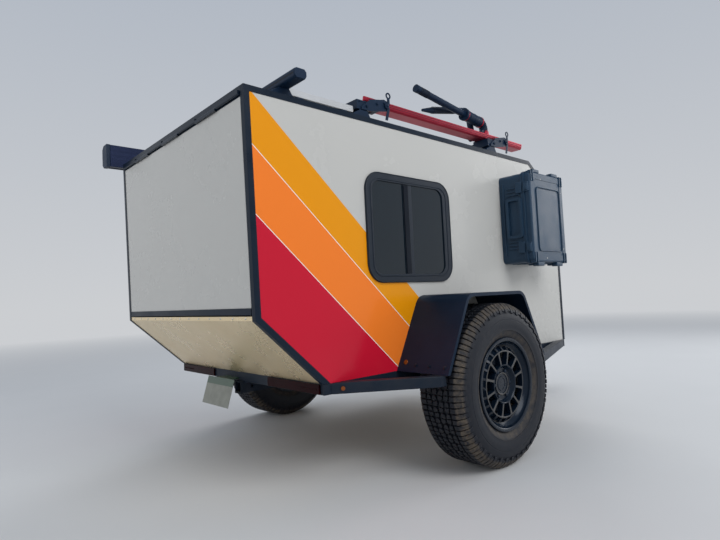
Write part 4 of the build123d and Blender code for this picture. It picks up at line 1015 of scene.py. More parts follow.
SOFT_EDGES = (
    ("window_frames", 3.0, 3), ("door_window_frame", 3.0, 3), ("case_base", 2.0, 2), ("case_lid", 2.5, 2),
    ("fenders", 1.2, 2), ("side_rails", 4.0, 3), ("frame_rails", 4.0, 3), ("cross_members", 3.0, 2),
    ("tongue_rails", 4.0, 3), ("receiver", 1.5, 2), ("coupler", 1.5, 2), ("roof_feet", 3.0, 2),
    ("roof_bars", 1.5, 2), ("awning_case", 1.5, 2), ("awning_fittings", 3.0, 2), ("solar_panel", 1.0, 2),
    ("bike_tray", 0.8, 2), ("tray_fittings", 1.0, 2), ("hub_right", 1.2, 2), ("hub_left", 1.2, 2),
    ("door_panel", 1.5, 2), ("door_fittings", 1.0, 2), ("door_hinges", 1.0, 2), ("hatch_panel", 1.5, 2),
    ("edge_trims", 0.7, 2), ("tail_lamps", 2.0, 2), ("marker_lamps", 1.5, 2), ("axle_beam", 3.0, 2),
    ("axle_arms", 2.5, 2), ("jack_body", 1.5, 2), ("jack_leg", 1.5, 2), ("rack_arm", 1.5, 2),
    ("rack_hoop", 1.5, 2),
)


def loose_copy(node_name, name):
    """A copy of a CAD node with its triangles merged into plain faces."""
    node = frame["nodes"][node_name]
    copy = node.copy()
    copy.data = node.data.copy()
    copy.parent = None
    copy.matrix_world = Matrix.Identity(4)
    bpy.context.scene.collection.objects.link(copy)
    edit_all(named(copy, name))
    bpy.context.tool_settings.mesh_select_mode = (True, False, False)
    bpy.ops.mesh.select_all(action="SELECT")
    bpy.ops.mesh.remove_doubles(threshold=0.00001)
    bpy.ops.mesh.dissolve_limited(angle_limit=math.radians(0.6), use_dissolve_boundaries=False)
    leave()
    return copy


def soften_edges():
    """Copy the CAD's rigid pieces with small radii on their edges, and show those instead."""
    finishes = {name: finish for finish, names in NODE_FINISH.items() for name in names}
    for name, width, segments in SOFT_EDGES:
        copy = loose_copy(name, "soft_" + name)
        apply_modifier(copy, "BEVEL", width=width * MM, segments=segments, limit_method="ANGLE",
                       angle_limit=math.radians(34), use_clamp_overlap=True)
        finish_piece(copy, finishes[name], frame_body(name), smooth=30.0)
        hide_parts(name)


def frame_body(name):
    """The body that carries a CAD node."""
    for body, names in frame["record"]["behaviour"]["bodies"].items():
        if name in names:
            return body
    raise ValueError(name + " is on no body")


# Wheels

WHEEL_LOW, WHEEL_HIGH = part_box("tyre_right")
WHEEL = (WHEEL_LOW + WHEEL_HIGH) / 2
AXLE = (0, 1, 0)
OUT = Vector((0, -1, 0))

# Section of the tyre from its bead up one side, and inside it: sideways place and radius in mm
TYRE_SIDE = (
    (114.0, 226.5), (114.5, 233.0), (117.0, 241.0), (123.0, 251.0), (131.0, 266.0), (135.0, 275.0),
    (138.5, 277.0), (139.5, 283.0), (139.0, 286.0), (141.0, 296.0), (142.6, 306.0), (142.8, 318.0),
    (142.0, 330.0), (140.4, 332.0), (140.2, 335.0), (141.0, 337.0), (138.5, 350.0), (134.5, 362.0),
    (128.0, 378.0), (115.0, 396.0), (98.0, 405.0), (60.0, 407.0),
)
TYRE_INSIDE = ((98.0, 226.5), (117.0, 300.0), (112.0, 352.0), (86.0, 388.0))

# Tread blocks of one pitch: place along the tread and sideways, then how far their foot lies
# inside the tread's radius and how high they stand
TREAD_BLOCKS = (
    ((-27, 6), (-14, 3), (-3, 5), (-5, 18), (-8, 29), (-20, 27), (-27, 17)),
    ((2, 6), (13, 8), (25, 16), (22, 30), (6, 33), (-3, 31), (0, 19)),
    ((-24, 41), (-13, 38), (-2, 39), (-4, 50), (-2, 63), (-14, 63), (-26, 59), (-19, 50)),
    ((3, 39), (17, 42), (26, 51), (22, 62), (3, 64), (1, 50)),
)
BLOCK_FOOT, BLOCK_HEIGHT = 17.0, 16.2

# Shoulder lugs: section as sideways place and radius, width, and shift in pitches
LUGS = (
    (((71, 402), (71, 419.2), (99, 419.2), (106, 415.5), (131, 391.5), (137, 375), (138.5, 366),
      (129, 366), (116, 386), (98, 402)), 22.0, -0.25),
    (((73, 402), (73, 419.2), (99, 419.2), (105, 415.5), (128, 393.5), (133.5, 382),
      (135.5, 375), (125, 375), (113, 389), (98, 402)), 21.0, 0.25),
)


def wheel_spot(along, side, radius):
    """A place on the right wheel: along from its middle, sideways outwards and above the axle, in mm."""
    return WHEEL + Vector((along * MM, -side * MM, radius * MM))


def wheel_turned(name, section, steps):
    """A section turned about the right wheel's axle."""
    return turned(name, [wheel_spot(0, side, radius) for side, radius in section], WHEEL, AXLE, steps)


def make_carcass():
    """The tyre without its tread."""
    section = [(-s, r) for s, r in TYRE_SIDE] + [(s, r) for s, r in reversed(TYRE_SIDE)]
    section += [(s, r) for s, r in TYRE_INSIDE] + [(-s, r) for s, r in reversed(TYRE_INSIDE)]
    return wheel_turned("carcass", section + section[:1], 138)


def make_tread():
    """One pitch of the tread: staggered blocks and shoulder lugs on each half, copied round the wheel."""
    count = bpy.context.scene.trailer_tyre.pitches
    pitch = TAU / count
    foot = (WHEEL_HIGH.z - WHEEL.z) / MM - BLOCK_FOOT
    pieces = []
    for side in (-1, 1):
        phase = 0.0 if side < 0 else pitch / 2
        for outline in TREAD_BLOCKS:
            points = [wheel_spot(along, side * across, foot) for along, across in outline]
            block = prism("tread_block", points, (0, 0, BLOCK_HEIGHT * MM), 1.0 * MM, 1)
            pieces += turned_row(block, WHEEL, AXLE, count, phase)
        for section, width, shift in LUGS:
            points = [wheel_spot(-width / 2, side * across, radius) for across, radius in section]
            lug = prism("shoulder_lug", points, (width * MM, 0, 0), 1.3 * MM, 1)
            pieces += turned_row(lug, WHEEL, AXLE, count, phase + shift * pitch)
    return joined("tread", pieces)


def make_tyres():
    """The lugged tyre, modelled at the right wheel and copied to the left."""
    right = joined("tyre_tread_right", [make_carcass(), make_tread()])
    left = named(repeated(right, [moved((0, 0, 0)), moved((0, -2 * WHEEL.y, 0))])[1], "tyre_tread_left")
    for piece, side in ((right, "right"), (left, "left")):
        finish_piece(piece, "rubber", "wheel_" + side, smooth=34.0)
        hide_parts("tyre_" + side)


# Section of the barrel, its rolled lip and the ring round the spokes: sideways place and radius in mm
RIM_SECTION = (
    (118, 240), (124, 240), (127, 237.5), (128, 232), (127, 226), (123.5, 221), (117, 219), (112, 218.3),
    (104, 214), (95, 205), (89.5, 199.5), (88.5, 196.5), (82.5, 193), (81.5, 190), (97.5, 176),
    (106.5, 174), (110.5, 172.5), (112, 170), (112, 167), (110.5, 165), (107.5, 164), (84, 164),
    (76, 168), (62, 186), (50, 190), (-58, 190), (-94, 218.7), (-126, 218.7), (-126, 240), (-118, 240),
    (-118, 225.9), (-96, 225.9), (-56, 198), (70, 198), (96, 225.9), (118, 225.9), (118, 240),
)
# Section of the dished hub, from its middle over the crest to its seat on the drum
HUB_SECTION = (
    (86, 0), (86, 79), (88, 82.5), (103, 90), (108.5, 93), (110.5, 96), (110, 99), (106, 101.5),
    (80, 103), (58, 98), (38.4, 96), (38.4, 52), (76.5, 52), (76.5, 0),
)
# Half outline of a spoke across and along the radius, its face and depth
SPOKE_HALF = ((9.0, 95), (6.8, 104), (6.0, 122), (6.2, 146), (7.6, 158), (11.0, 168))
SPOKE_FACE, SPOKE_DEPTH, SPOKES = 111.0, 30, 12
# Section of a rib between two pockets, and its width
POCKET_RIB = ((111.0, 171.0), (107.5, 175.0), (91.5, 196.5), (86.0, 196.5), (80.0, 190.0), (96.0, 172.0))
RIB_WIDTH = 14
# Where the nuts and the cap sit in the dish, and the radius of the nuts' circle
DISH, NUT_CIRCLE, NUTS = 85.8, 69.85, 6


def make_rim():
    """The right wheel's rim: lipped barrel with a pocketed ring, twelve slim spokes and a dished hub."""
    barrel = wheel_turned("barrel", RIM_SECTION, 96)
    hub = wheel_turned("rim_hub", HUB_SECTION, 72)
    outline = [wheel_spot(-across, SPOKE_FACE, radius) for across, radius in SPOKE_HALF]
    outline += [wheel_spot(across, SPOKE_FACE, radius) for across, radius in reversed(SPOKE_HALF)]
    spoke = prism("spoke", outline, (0, SPOKE_DEPTH * MM, 0), 1.2 * MM, 1)
    section = [wheel_spot(-RIB_WIDTH / 2, side, radius) for side, radius in POCKET_RIB]
    rib = prism("pocket_rib", section, (RIB_WIDTH * MM, 0, 0), 1.4 * MM, 1)
    spokes = turned_row(spoke, WHEEL, AXLE, SPOKES, TAU / SPOKES / 2)
    ribs = turned_row(rib, WHEEL, AXLE, 2 * SPOKES)
    return joined("spoked_rim_right", [barrel, hub] + spokes + ribs)


def make_rims():
    """The spoked rims of both wheels."""
    right = make_rim()
    left = mirrored(right, "spoked_rim_left")
    for piece, side in ((right, "right"), (left, "left")):
        finish_piece(piece, "alloy", "wheel_" + side, smooth=34.0)
        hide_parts("rim_" + side)


def make_wheel_details():
    """Wheel nuts in the hub's dish, the cap with its ring and the valve, on both wheels."""
    parts = []
    for index in range(NUTS):
        angle = TAU * (index + 0.5) / NUTS
        at = wheel_spot(NUT_CIRCLE * math.sin(angle), DISH, NUT_CIRCLE * math.cos(angle))
        parts.append(boss("nut_seat", at, OUT))
        parts.append(hex_nut("wheel_nut", at, OUT, 17.0, 8.0))
    cap = boss("cap", wheel_spot(0, DISH, 0), OUT)
    stem = boss("valve", wheel_spot(-203, 96, 0), (0.35, -1, 0))
    right = joined("wheel_fittings_right", parts + [stem])
    caps = joined("wheel_cap_right", [cap])
    for piece, finish in ((right, "dark_metal"), (caps, "alloy")):
        left = mirrored(piece, piece.name.replace("right", "left"))
        finish_piece(piece, finish, "wheel_right")
        finish_piece(left, finish, "wheel_left")


# Windows and door, in mm. The frames' edges: rear, front, foot, head and corner radius

FRAME_FACE = 772.2
FRAME_EDGES = ((640, 1296, 454, 1014, 96.0), (671, 1265, 484, 983, 64.0))
PANE_PUSH = 8.0
DOOR_ALONG, DOOR_PIN = 2155.0, 2475
HINGE_UPS = (290.0, 890.0)


def rounded(low_a, high_a, low_b, high_b, radius, steps=6):
    """The outline of a rounded rectangle, as pairs."""
    points = []
    for a, b, start in ((high_a - radius, high_b - radius, 0), (low_a + radius, high_b - radius, 1),
                        (low_a + radius, low_b + radius, 2), (high_a - radius, low_b + radius, 3)):
        for index in range(steps + 1):
            angle = TAU / 4 * (start + index / steps)
            points.append((a + radius * math.cos(angle), b + radius * math.sin(angle)))
    return points


def wall_ring(name, edges, side, thickness, steps=6):
    """A thin round bead along a rounded rectangle on a side wall."""
    loop = [spot(along, side, up) for along, up in rounded(*edges, steps)]
    return tube(name, loop, thickness, cyclic=True, resolution=2)


def make_window_details():
    """The panes near the frames' faces, the sash's dark overlap (partly its real edge, partly painted shade
    in the gap) and raised beads round each frame.
    """
    copy = loose_copy("window_panes", "flush_panes")
    for vertex in copy.data.vertices:
        vertex.co.y += math.copysign(PANE_PUSH * MM, vertex.co.y)
    finish_piece(copy, "glass", "trailer", 30)
    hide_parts("window_panes")
    for label, way in (("right", -1), ("left", 1)):
        # A near-black strip: partly the sash's dark edge, partly painted shade in the gap between the
        # sashes.
        overlap = bead("sash_overlap", spot(913, way * 771.6, 497), spot(948, way * 773.0, 971), 0.6, 2)
        assembled("window_overlap_" + label, [overlap], "gloss")
        beads = [wall_ring("frame_bead", edges, way * FRAME_FACE, 2.6, 10) for edges in FRAME_EDGES]
        assembled("window_beads_" + label, beads, "plastic", smooth=40)


def make_door_details():
    """The rubber round the door's pane, the lock in its handle and the hinges' screws."""
    edges = (DOOR_ALONG - 174, DOOR_ALONG + 174, 627, 935, 52.0)
    seal = wall_ring("door_seal", edges, 759.0, 4.5)
    assembled("door_pane_seal", [seal], "rubber_seal", "entry_door", 50)
    parts = [boss("lock", spot(1920, 768.0, 448), -OUT),
             bead("lock_slit", spot(1919.2, 768.6, 443.5), spot(1920.8, 769.8, 452.5), 0.3, 1)]
    for hinge_up in HINGE_UPS:
        for shift in (-24.0, 24.0):
            parts.append(boss("hinge_screw", spot(DOOR_PIN - 32, 766, hinge_up + shift), -OUT))
    assembled("door_lock", parts, "bright_metal", "entry_door")


# Storage case, in mm

CASE_REAR, CASE_FRONT = 1848.0, 2273.0
CASE_FOOT, CASE_HEAD = 552.0, 1125.0
CASE_FACE = -982.0
CASE_MIDDLE = (CASE_FOOT + CASE_HEAD) / 2
HANDLE_ALONG = (CASE_REAR + CASE_FRONT) / 2
LID_PANEL = (1921, 2217, 623, 1030, 24.0)
RIVETS = ((1985, 1085), (2010, 578), (2235, 640), (2235, 1020))


def block(name, alongs, sides, ups, bevel):
    """A moulded block between two values of each direction."""
    return bead(name, *(spot(*corner) for corner in zip(alongs, sides, ups)), bevel)


def make_case_shell():
    """Ribs, spines and top handle of the case's base."""
    parts = []
    for shift in (150.0, 172.0, 194.0):
        for way in (-1, 1):
            up = CASE_MIDDLE + way * shift
            parts.append(block("side_rib", (CASE_REAR - 8, CASE_REAR + 2), (-908, -816),
                               (up - 5, up + 5), 2.2))
    for sides in ((-928, -917), (-796, -785)):
        parts.append(block("side_spine", (CASE_REAR - 6, CASE_REAR + 2), sides,
                           (CASE_FOOT + 50, CASE_HEAD - 50), 2.0))
    for along in (CASE_REAR + 60, CASE_REAR + 110, CASE_FRONT - 120, CASE_FRONT - 70):
        for ups in ((CASE_FOOT - 5, CASE_FOOT + 2), (CASE_HEAD - 2, CASE_HEAD + 5)):
            parts.append(block("end_rib", (along, along + 16), (-918, -790), ups, 2.2))
    for along in (HANDLE_ALONG - 78, HANDLE_ALONG + 78):
        parts.append(block("handle_ear", (along - 12, along + 12), (-905, -865),
                           (CASE_HEAD - 2, CASE_HEAD + 16), 3.0))
    grip = [spot(HANDLE_ALONG + shift, -885, CASE_HEAD + rise)
            for shift, rise in ((-78, 10), (-70, 20), (70, 20), (78, 10))]
    parts.append(tube("top_handle", grip, 9.0))
    assembled("case_ribs", parts, "case", smooth=40)


def make_case_latches():
    """The latches on the lid and the catches on the base: two at the rear, two each above and below."""
    catches, latches = [], []
    for up in (CASE_FOOT + 96, CASE_HEAD - 96):
        alongs = (CASE_REAR - 14, CASE_REAR + 1)
        catches.append(block("latch_foot", alongs, (-929, -884), (up - 36, up + 36), 4.0))
        latches.append(block("latch_hook", alongs, (-974, -937), (up - 30, up + 30), 4.0))
        latches.append(block("latch_pull", (CASE_REAR - 19, CASE_REAR - 12), (-970, -944),
                             (up - 19, up + 19), 2.5))
    for low, high in ((CASE_FOOT - 24, CASE_FOOT + 2), (CASE_HEAD - 2, CASE_HEAD + 20)):
        step = (high - low) * 0.25
        for start, end in ((CASE_REAR + 52, CASE_REAR + 132), (CASE_FRONT - 132, CASE_FRONT - 52)):
            latches.append(block("edge_latch", (start, end), (-978, -938), (low, high), 5.0))
            catches.append(block("edge_catch", (start + 8, end - 8), (-928, -902),
                                 (low + step, high - step), 4.0))
    assembled("case_catches", catches, "case", smooth=40)
    assembled("case_latches", latches, "case", "storage_lid", 40)


def make_case_lid():
    """The raised frame, the ribbed corners and the rivets of the case's lid."""
    parts = [wall_ring("lid_frame", LID_PANEL, CASE_FACE - 0.4, 3.4, 5)]
    for foot, head, outer in ((CASE_FOOT + 2, CASE_FOOT + 62, -7), (CASE_HEAD - 62, CASE_HEAD - 2, 7)):
        for along in (CASE_REAR + 8, CASE_REAR + 34, CASE_FRONT - 46, CASE_FRONT - 20):
            alongs = (along, along + 12)
            parts.append(block("corner_rib", alongs, (CASE_FACE - 5.0, CASE_FACE + 4), (foot, head), 3.0))
            parts.append(block("corner_bump", alongs, (CASE_FACE - 4.0, CASE_FACE + 30),
                               (min(foot, foot + outer), max(head, head + outer)), 3.0))
    assembled("case_lid_ribs", parts, "case", "storage_lid", 40)
    rivets = [boss("rivet", spot(along, CASE_FACE + 0.2, up), OUT) for along, up in RIVETS]
    assembled("case_rivets", rivets, "bright_metal", "storage_lid")


# Roof load, in mm. The bars: place along and right end

BAR_PLACES = ((222.5, 830.0), (712.5, 705.0), (1882.5, 705.0))
BAR_LOW, BAR_HIGH, BAR_LEFT = 1350.0, 1395.0, 786.0
BAR_SECTION = ((-32.5, BAR_LOW + 12), (-22, BAR_LOW), (22, BAR_LOW), (32.5, BAR_LOW + 12),
               (32.5, BAR_HIGH - 12), (22, BAR_HIGH), (-22, BAR_HIGH), (-32.5, BAR_HIGH - 12))


def make_bar_details():
    """The rounded cap on the long bar's end and the slots along the roof bars."""
    along, right_end = BAR_PLACES[0]
    points = [spot(along + shift, -right_end, up) for shift, up in BAR_SECTION]
    cap = prism("bar_cap", points, OUT * (7 * MM), 2.6 * MM, 3)
    slots = []
    for along, right_end in BAR_PLACES:
        start = -right_end + 4
        for shift in (-33.0, 32.2):
            slots.append(bead("bar_slot", spot(along + shift, start, BAR_LOW + 19),
                              spot(along + shift + 0.8, BAR_LEFT, BAR_LOW + 26), 0.3, 1))
        slots.append(bead("bar_top_slot", spot(along - 6, start, BAR_HIGH - 0.4),
                          spot(along + 6, BAR_LEFT, BAR_HIGH + 0.8), 0.3, 1))
    assembled("bar_caps", [cap], "roof_black", smooth=40)
    assembled("bar_slots", slots, "rubber_seal")


def make_awning_details():
    """Seam, keder rail, top rib and cap screws of the awning case."""
    start, end = -84, 1964
    ribs = [bead("awning_seam", spot(start, 836, 1278.2), spot(end, 846, 1282.4), 0.8, 2),
            bead("awning_rail", spot(start, 861.5, 1286), spot(end, 868, 1292), 1.5, 2),
            bead("awning_top_rib", spot(start, 812, 1419.6), spot(end, 822, 1424.4), 1.2, 2)]
    screws = []
    for along, way in ((-110.0, -1), (1990.0, 1)):
        for side, up in ((812, 1300), (812, 1402), (862, 1350)):
            screws.append(boss("awning_screw", spot(along, side, up), (-way, 0, 0)))
    assembled("awning_ribs", ribs, "awning", smooth=40)
    assembled("awning_screws", screws, "dark_metal")


# The tray's sides, its top, and how far its sides lean in for each millimetre down
TRAY_NEAR, TRAY_FAR = -690.0, -590.0
TRAY_TOP, TRAY_LEAN = 1439.0, 0.2


def make_tray_details():
    """Dark grooves along the tray's sides, and the clamps' washers, nuts, ratchets and knobs."""
    grooves = []
    for side, way in ((TRAY_NEAR, 1), (TRAY_FAR, -1)):
        for up in (1421.0, 1430.0):
            place = side + way * (TRAY_TOP - up) * TRAY_LEAN
            grooves.append(bead("groove", spot(772, place - 0.9, up - 1.3),
                                spot(2294, place + 0.9, up + 1.3), 0.4, 1))
    assembled("tray_grooves", grooves, "rubber_seal")
    fittings = []
    for along, _ in BAR_PLACES[1:]:
        for shift, up in ((20.0, 1375.0), (96.0, 1404.0), (150.0, 1418.0)):
            fittings.append(boss("clamp_washer", spot(along + shift, -711.6, up), OUT))
            fittings.append(hex_nut("clamp_nut", spot(along + shift, -713, up), OUT, 12.0, 5.0))
        fittings.append(boss("ratchet", spot(along + 162, -712, 1405), OUT))
        fittings.append(boss("clamp_knob", spot(along + 66, -640, 1395), (0, 0, -1)))
    assembled("clamp_fittings", fittings, "roof_black")


# Folding arms, in mm from their pivot: the gripping arm's elbow, its shroud and its tip, and the hoop's bar
PIVOT = (2000.0, 1495.0)
ARM_LINE, HOOP_LINE = -543.0, -473.0
ELBOW = Vector((125.0, 0, 76.0))
ELBOW_BEND, ELBOW_STEPS = 42.0, 11
SHROUD = (Vector((0.0, 0, 90.7)), Vector((-173.0, 0, 111.0)))
RED_RINGS = (SHROUD[0].lerp(SHROUD[1], 0.03), Vector((-168.0, 0, 110.4)))
GRIP = (Vector((-189.0, 0, 113.0)), Vector((-655.0, 0, 175.0)))
HOOP = (Vector((-60.0, 0, 185.9)), Vector((-440.0, 0, 109.0)))


def arm_boss(name, at, line, side=ARM_LINE):
    """A turned form on an arm, at a place from the pivot."""
    return boss(name, spot(PIVOT[0] + at.x, side, PIVOT[1] + at.z), line)


def elbow_ribs():
    """Ribs round the gripping arm's elbow, along its bend."""
    into = ELBOW.normalized()
    out = (SHROUD[1] - ELBOW).normalized()
    half_turn = into.angle(out) / 2
    centre = ELBOW + (out - into).normalized() * (ELBOW_BEND / math.cos(half_turn))
    start = ELBOW - into * (ELBOW_BEND * math.tan(half_turn)) - centre
    ribs = []
    for index in range(ELBOW_STEPS + 1):
        turn = Matrix.Rotation(-2 * half_turn * index / ELBOW_STEPS, 4, "Y")
        ribs.append(arm_boss("elbow_rib", centre + turn @ start, turn @ into))
    return ribs


def make_arm_details():
    """Ribbed elbow and shroud, red rings and rubber grips of the folding arms; the pivot's red knob."""
    line = (SHROUD[1] - SHROUD[0]).normalized()
    ribs = elbow_ribs()
    ribs += [arm_boss("shroud_rib", SHROUD[0].lerp(SHROUD[1], share), line) for share in (0.18, 0.5, 0.82)]
    red = [arm_boss("red_ring", at, line) for at in RED_RINGS]
    line = (GRIP[1] - GRIP[0]).normalized()
    rubber = [arm_boss("grip_rib", GRIP[1] + line * back, line) for back in range(-90, -17, 12)]
    assembled("arm_ribs", ribs, "roof_black", "gripping_arm", 40)
    assembled("arm_grip", rubber, "rubber_seal", "gripping_arm", 40)
    assembled("arm_red_rings", red, "red_trim", "gripping_arm", 40)
    finish_piece(boss("pivot_knob", spot(PIVOT[0], -585.2, PIVOT[1]), OUT), "red_trim", "trailer", 40)
    line = (HOOP[1] - HOOP[0]).normalized()
    ribs = [arm_boss("hoop_rib", HOOP[0].lerp(HOOP[1], 0.4 + 0.6 * index / 13), line, HOOP_LINE)
            for index in range(14)]
    assembled("hoop_ribs", ribs, "rubber_seal", "wheel_hoop", 40)


def make_solar_details():
    """Junction box under the solar panel and the brackets' bolts."""
    parts = [bead("junction_box", spot(430, -200, 1306), spot(510, -110, 1335), 4.0)]
    for along in (292.0, 564.0):
        for side in (-668.0, 308.0):
            parts.append(hex_nut("foot_bolt", spot(along, side, 1290), (0, 0, 1), 13.0, 8.0))
    assembled("solar_fittings", parts, "plastic")


# Rear, fenders, chassis and jack, in mm

LIP_UP = 315.0
FENDER_ALONG, FENDER_FOOT, FENDER_TOP, FENDER_UP = 1253.0, 448.0, 256.0, 379.0
FRAME_UNDER, COUPLER_TOP = -50.8, -44.8
JACK_ALONG = 3330.0


def make_rear_details():
    """Screws along the lip under the hatch, and the beads of the tail lamps."""
    screws = []
    for side in range(-680, 681, 113):
        screws.append(boss("lip_screw", spot(-0.2, side, LIP_UP), (-1, 0, -0.05)))
    assembled("lip_screws", screws, "bright_metal")
    lens_low, lens_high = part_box("tail_lamps")
    beads = []
    for way in (-1, 1):
        for index in range(12):
            side = way * (lens_high.y - (20 + index * 11.5) * MM)
            at = Vector((lens_low.x - 0.2 * MM, side, (lens_low.z + lens_high.z) / 2))
            beads.append(boss("lamp_bead", at, (-1, 0, 0)))
    assembled("lamp_beads", beads, "red_lens")


def make_fender_details():
    """Bolts through the fenders' faces, and an amber reflector on each rear face."""
    lean = (FENDER_FOOT - FENDER_TOP) / FENDER_UP
    slope = math.atan(lean)
    for label, way in (("right", -1), ("left", 1)):
        bolts = []
        for front in (-1, 1):
            normal = Vector((front * math.cos(slope), 0, math.sin(slope)))
            for side in (880.0, 966.0, 1060.0):
                up = 34.0
                at = spot(FENDER_ALONG + front * (FENDER_FOOT - up * lean), way * side, up)
                bolts.append(boss("fender_washer", at, normal))
                bolts.append(hex_nut("fender_bolt", at + normal * 1.2 * MM, normal, 11.0, 5.0))
        up = 44.0
        normal = Vector((-math.cos(slope), 0, math.sin(slope)))
        at = spot(FENDER_ALONG - (FENDER_FOOT - up * lean), way * 808.0, up)
        assembled("fender_bolts_" + label, bolts, "dark_metal")
        assembled("fender_reflector_" + label, [boss("reflector", at, normal)], "amber_lens")


def make_chassis_details():
    """Bolts under the frame and the receiver, and on the coupler."""
    down, up = (0, 0, -1), (0, 0, 1)
    parts = []
    for side in (-724.0, 724.0):
        for along in (600.0, 1010.0, 1500.0, 2100.0):
            parts.append(hex_nut("frame_bolt", spot(along, side, FRAME_UNDER), down, 17.0, 8.0))
    for side in (-45.6, 45.6):
        for along in (350.0, 545.0):
            parts.append(hex_nut("receiver_bolt", spot(along, side, FRAME_UNDER), down, 15.0, 7.0))
    for along in (3480.0, 3540.0):
        for side in (-60.0, 60.0):
            parts.append(hex_nut("coupler_bolt", spot(along, side, COUPLER_TOP), up, 15.0, 8.0))
    assembled("frame_bolts", parts, "dark_metal")


def make_jack_details():
    """Ribbed grip on the jack's crank, the cap on its tube and the bolts of its bracket."""
    grip = [boss("crank_rib", spot(JACK_ALONG, 66.0 + 9.0 * index, 266.0), (0, 1, 0)) for index in range(8)]
    grip.append(boss("jack_cap", spot(JACK_ALONG, 0, 433.6), (0, 0, 1)))
    assembled("jack_grip", grip, "plastic", smooth=40)
    bolts = []
    for along, side in ((-58, -34), (58, -34), (-58, 34), (58, 34)):
        bolts.append(hex_nut("bracket_bolt", spot(JACK_ALONG + along, side, -42.8), (0, 0, 1), 15.0, 8.0))
    assembled("jack_bolts", bolts, "bright_metal")


# Bed, in metres

PAD_SLACK, PAD_HEADROOM, PAD_FLOOR = 10 * MM, 9 * MM, 0.4 * MM
PIPING_INSET, PIPING_CORNER = 9.5 * MM, 30 * MM


def swollen(pad, floor):
    """Swell the pad in a short cloth simulation, no further than its box leaves room for."""
    apply_modifier(pad, "REMESH", mode="VOXEL", voxel_size=18 * MM)
    before = [vertex.co.copy() for vertex in pad.data.vertices]
    activate(pad)
    cloth = pad.modifiers.new("Cloth", "CLOTH")
    cloth.settings.use_pressure = True
    cloth.settings.uniform_pressure_force = 4.0
    cloth.settings.effector_weights.gravity = 0.0
    for index in range(1, 21):
        bpy.context.scene.frame_set(index)
    bpy.ops.object.modifier_apply(modifier=cloth.name)
    bpy.context.scene.frame_set(1)
    for vertex, rest in zip(pad.data.vertices, before):
        step = vertex.co - rest
        if step.length > PAD_HEADROOM:
            step *= PAD_HEADROOM / step.length
        vertex.co = rest + step
        vertex.co.z = max(vertex.co.z, floor)


def make_mattress():
    """Foam mattress in a woven cover, swollen by a short cloth simulation, with piping on its edges."""
    low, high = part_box("mattress")
    slack = Vector((PAD_SLACK, PAD_SLACK, 0))
    top = high.z - PAD_HEADROOM
    pad = bead("mattress_pad", low + slack, high - slack - Vector((0, 0, PAD_HEADROOM)), 26.0, 4)
    swollen(pad, low.z + PAD_FLOOR)
    apply_modifier(pad, "SUBSURF", levels=1, render_levels=1)
    edges = rounded(low.x + PIPING_INSET, high.x - PIPING_INSET, low.y + PIPING_INSET,
                    high.y - PIPING_INSET, PIPING_CORNER)
    piping = []
    for up in (low.z + 12 * MM, top - 10 * MM):
        loop = [Vector((x, y, up)) for x, y in edges]
        piping.append(tube("piping", loop, 4.0, cyclic=True, resolution=2))
    whole = assembled("mattress_pad", [pad] + piping, "cloth", smooth=0)
    activate(whole)
    bpy.ops.object.shade_smooth()
    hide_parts("mattress")


# Steps


class TRAILER_OT_stage(bpy.types.Operator):
    """Build the floor, the light and the photograph's camera"""

    bl_idname = "trailer.stage"
    bl_label = "Stage"

    def execute(self, context):
        build_stage()
        build_camera()
        return {"FINISHED"}


class TRAILER_OT_finishes(bpy.types.Operator):
    """Make the materials and put them on the trailer's own pieces"""

    bl_idname = "trailer.finishes"
    bl_label = "Finishes"

    def execute(self, context):
        build_effects()
        MATERIALS.update(build_materials())
        dress_nodes()
        return {"FINISHED"}


class TRAILER_OT_edges(bpy.types.Operator):
    """Show the rigid pieces with small radii on their edges"""

    bl_idname = "trailer.edges"
    bl_label = "Rounded edges"

    def execute(self, context):
        soften_edges()
        return {"FINISHED"}


class TRAILER_OT_tyres(bpy.types.Operator):
    """Model the lugged tyre and copy it to the left"""

    bl_idname = "trailer.tyres"
    bl_label = "Tyres"

    def execute(self, context):
        make_tyres()
        return {"FINISHED"}


class TRAILER_OT_rims(bpy.types.Operator):
    """Model the spoked rim and mirror it to the left"""

    bl_idname = "trailer.rims"
    bl_label = "Rims"

    def execute(self, context):
        make_rims()
        return {"FINISHED"}


class TRAILER_OT_wheel_fittings(bpy.types.Operator):
    """Add the wheel nuts, caps and valves"""

    bl_idname = "trailer.wheel_fittings"
    bl_label = "Wheel fittings"

    def execute(self, context):
        make_wheel_details()
        return {"FINISHED"}


class TRAILER_OT_windows(bpy.types.Operator):
    """Add the panes, the sash's overlap with its painted shade and the beads of the side windows"""

    bl_idname = "trailer.windows"
    bl_label = "Windows"

    def execute(self, context):
        make_window_details()
        return {"FINISHED"}


class TRAILER_OT_door(bpy.types.Operator):
    """Add the seal, the lock and the screws of the entry door"""

    bl_idname = "trailer.door"
    bl_label = "Door"

    def execute(self, context):
        make_door_details()
        return {"FINISHED"}


class TRAILER_OT_storage_case(bpy.types.Operator):
    """Add the ribs, latches, rivets and handle of the hard case"""

    bl_idname = "trailer.storage_case"
    bl_label = "Storage case"

    def execute(self, context):
        make_case_shell()
        make_case_latches()
        make_case_lid()
        return {"FINISHED"}


class TRAILER_OT_roof_bars(bpy.types.Operator):
    """Add the caps and slots of the roof bars"""

    bl_idname = "trailer.roof_bars"
    bl_label = "Roof bars"

    def execute(self, context):
        make_bar_details()
        return {"FINISHED"}


class TRAILER_OT_awning(bpy.types.Operator):
    """Add the ribs and screws of the awning case"""

    bl_idname = "trailer.awning"
    bl_label = "Awning"

    def execute(self, context):
        make_awning_details()
        return {"FINISHED"}


class TRAILER_OT_bicycle_tray(bpy.types.Operator):
    """Add the grooves, bolts and ratchets of the bicycle tray"""

    bl_idname = "trailer.bicycle_tray"
    bl_label = "Bicycle tray"

    def execute(self, context):
        make_tray_details()
        return {"FINISHED"}


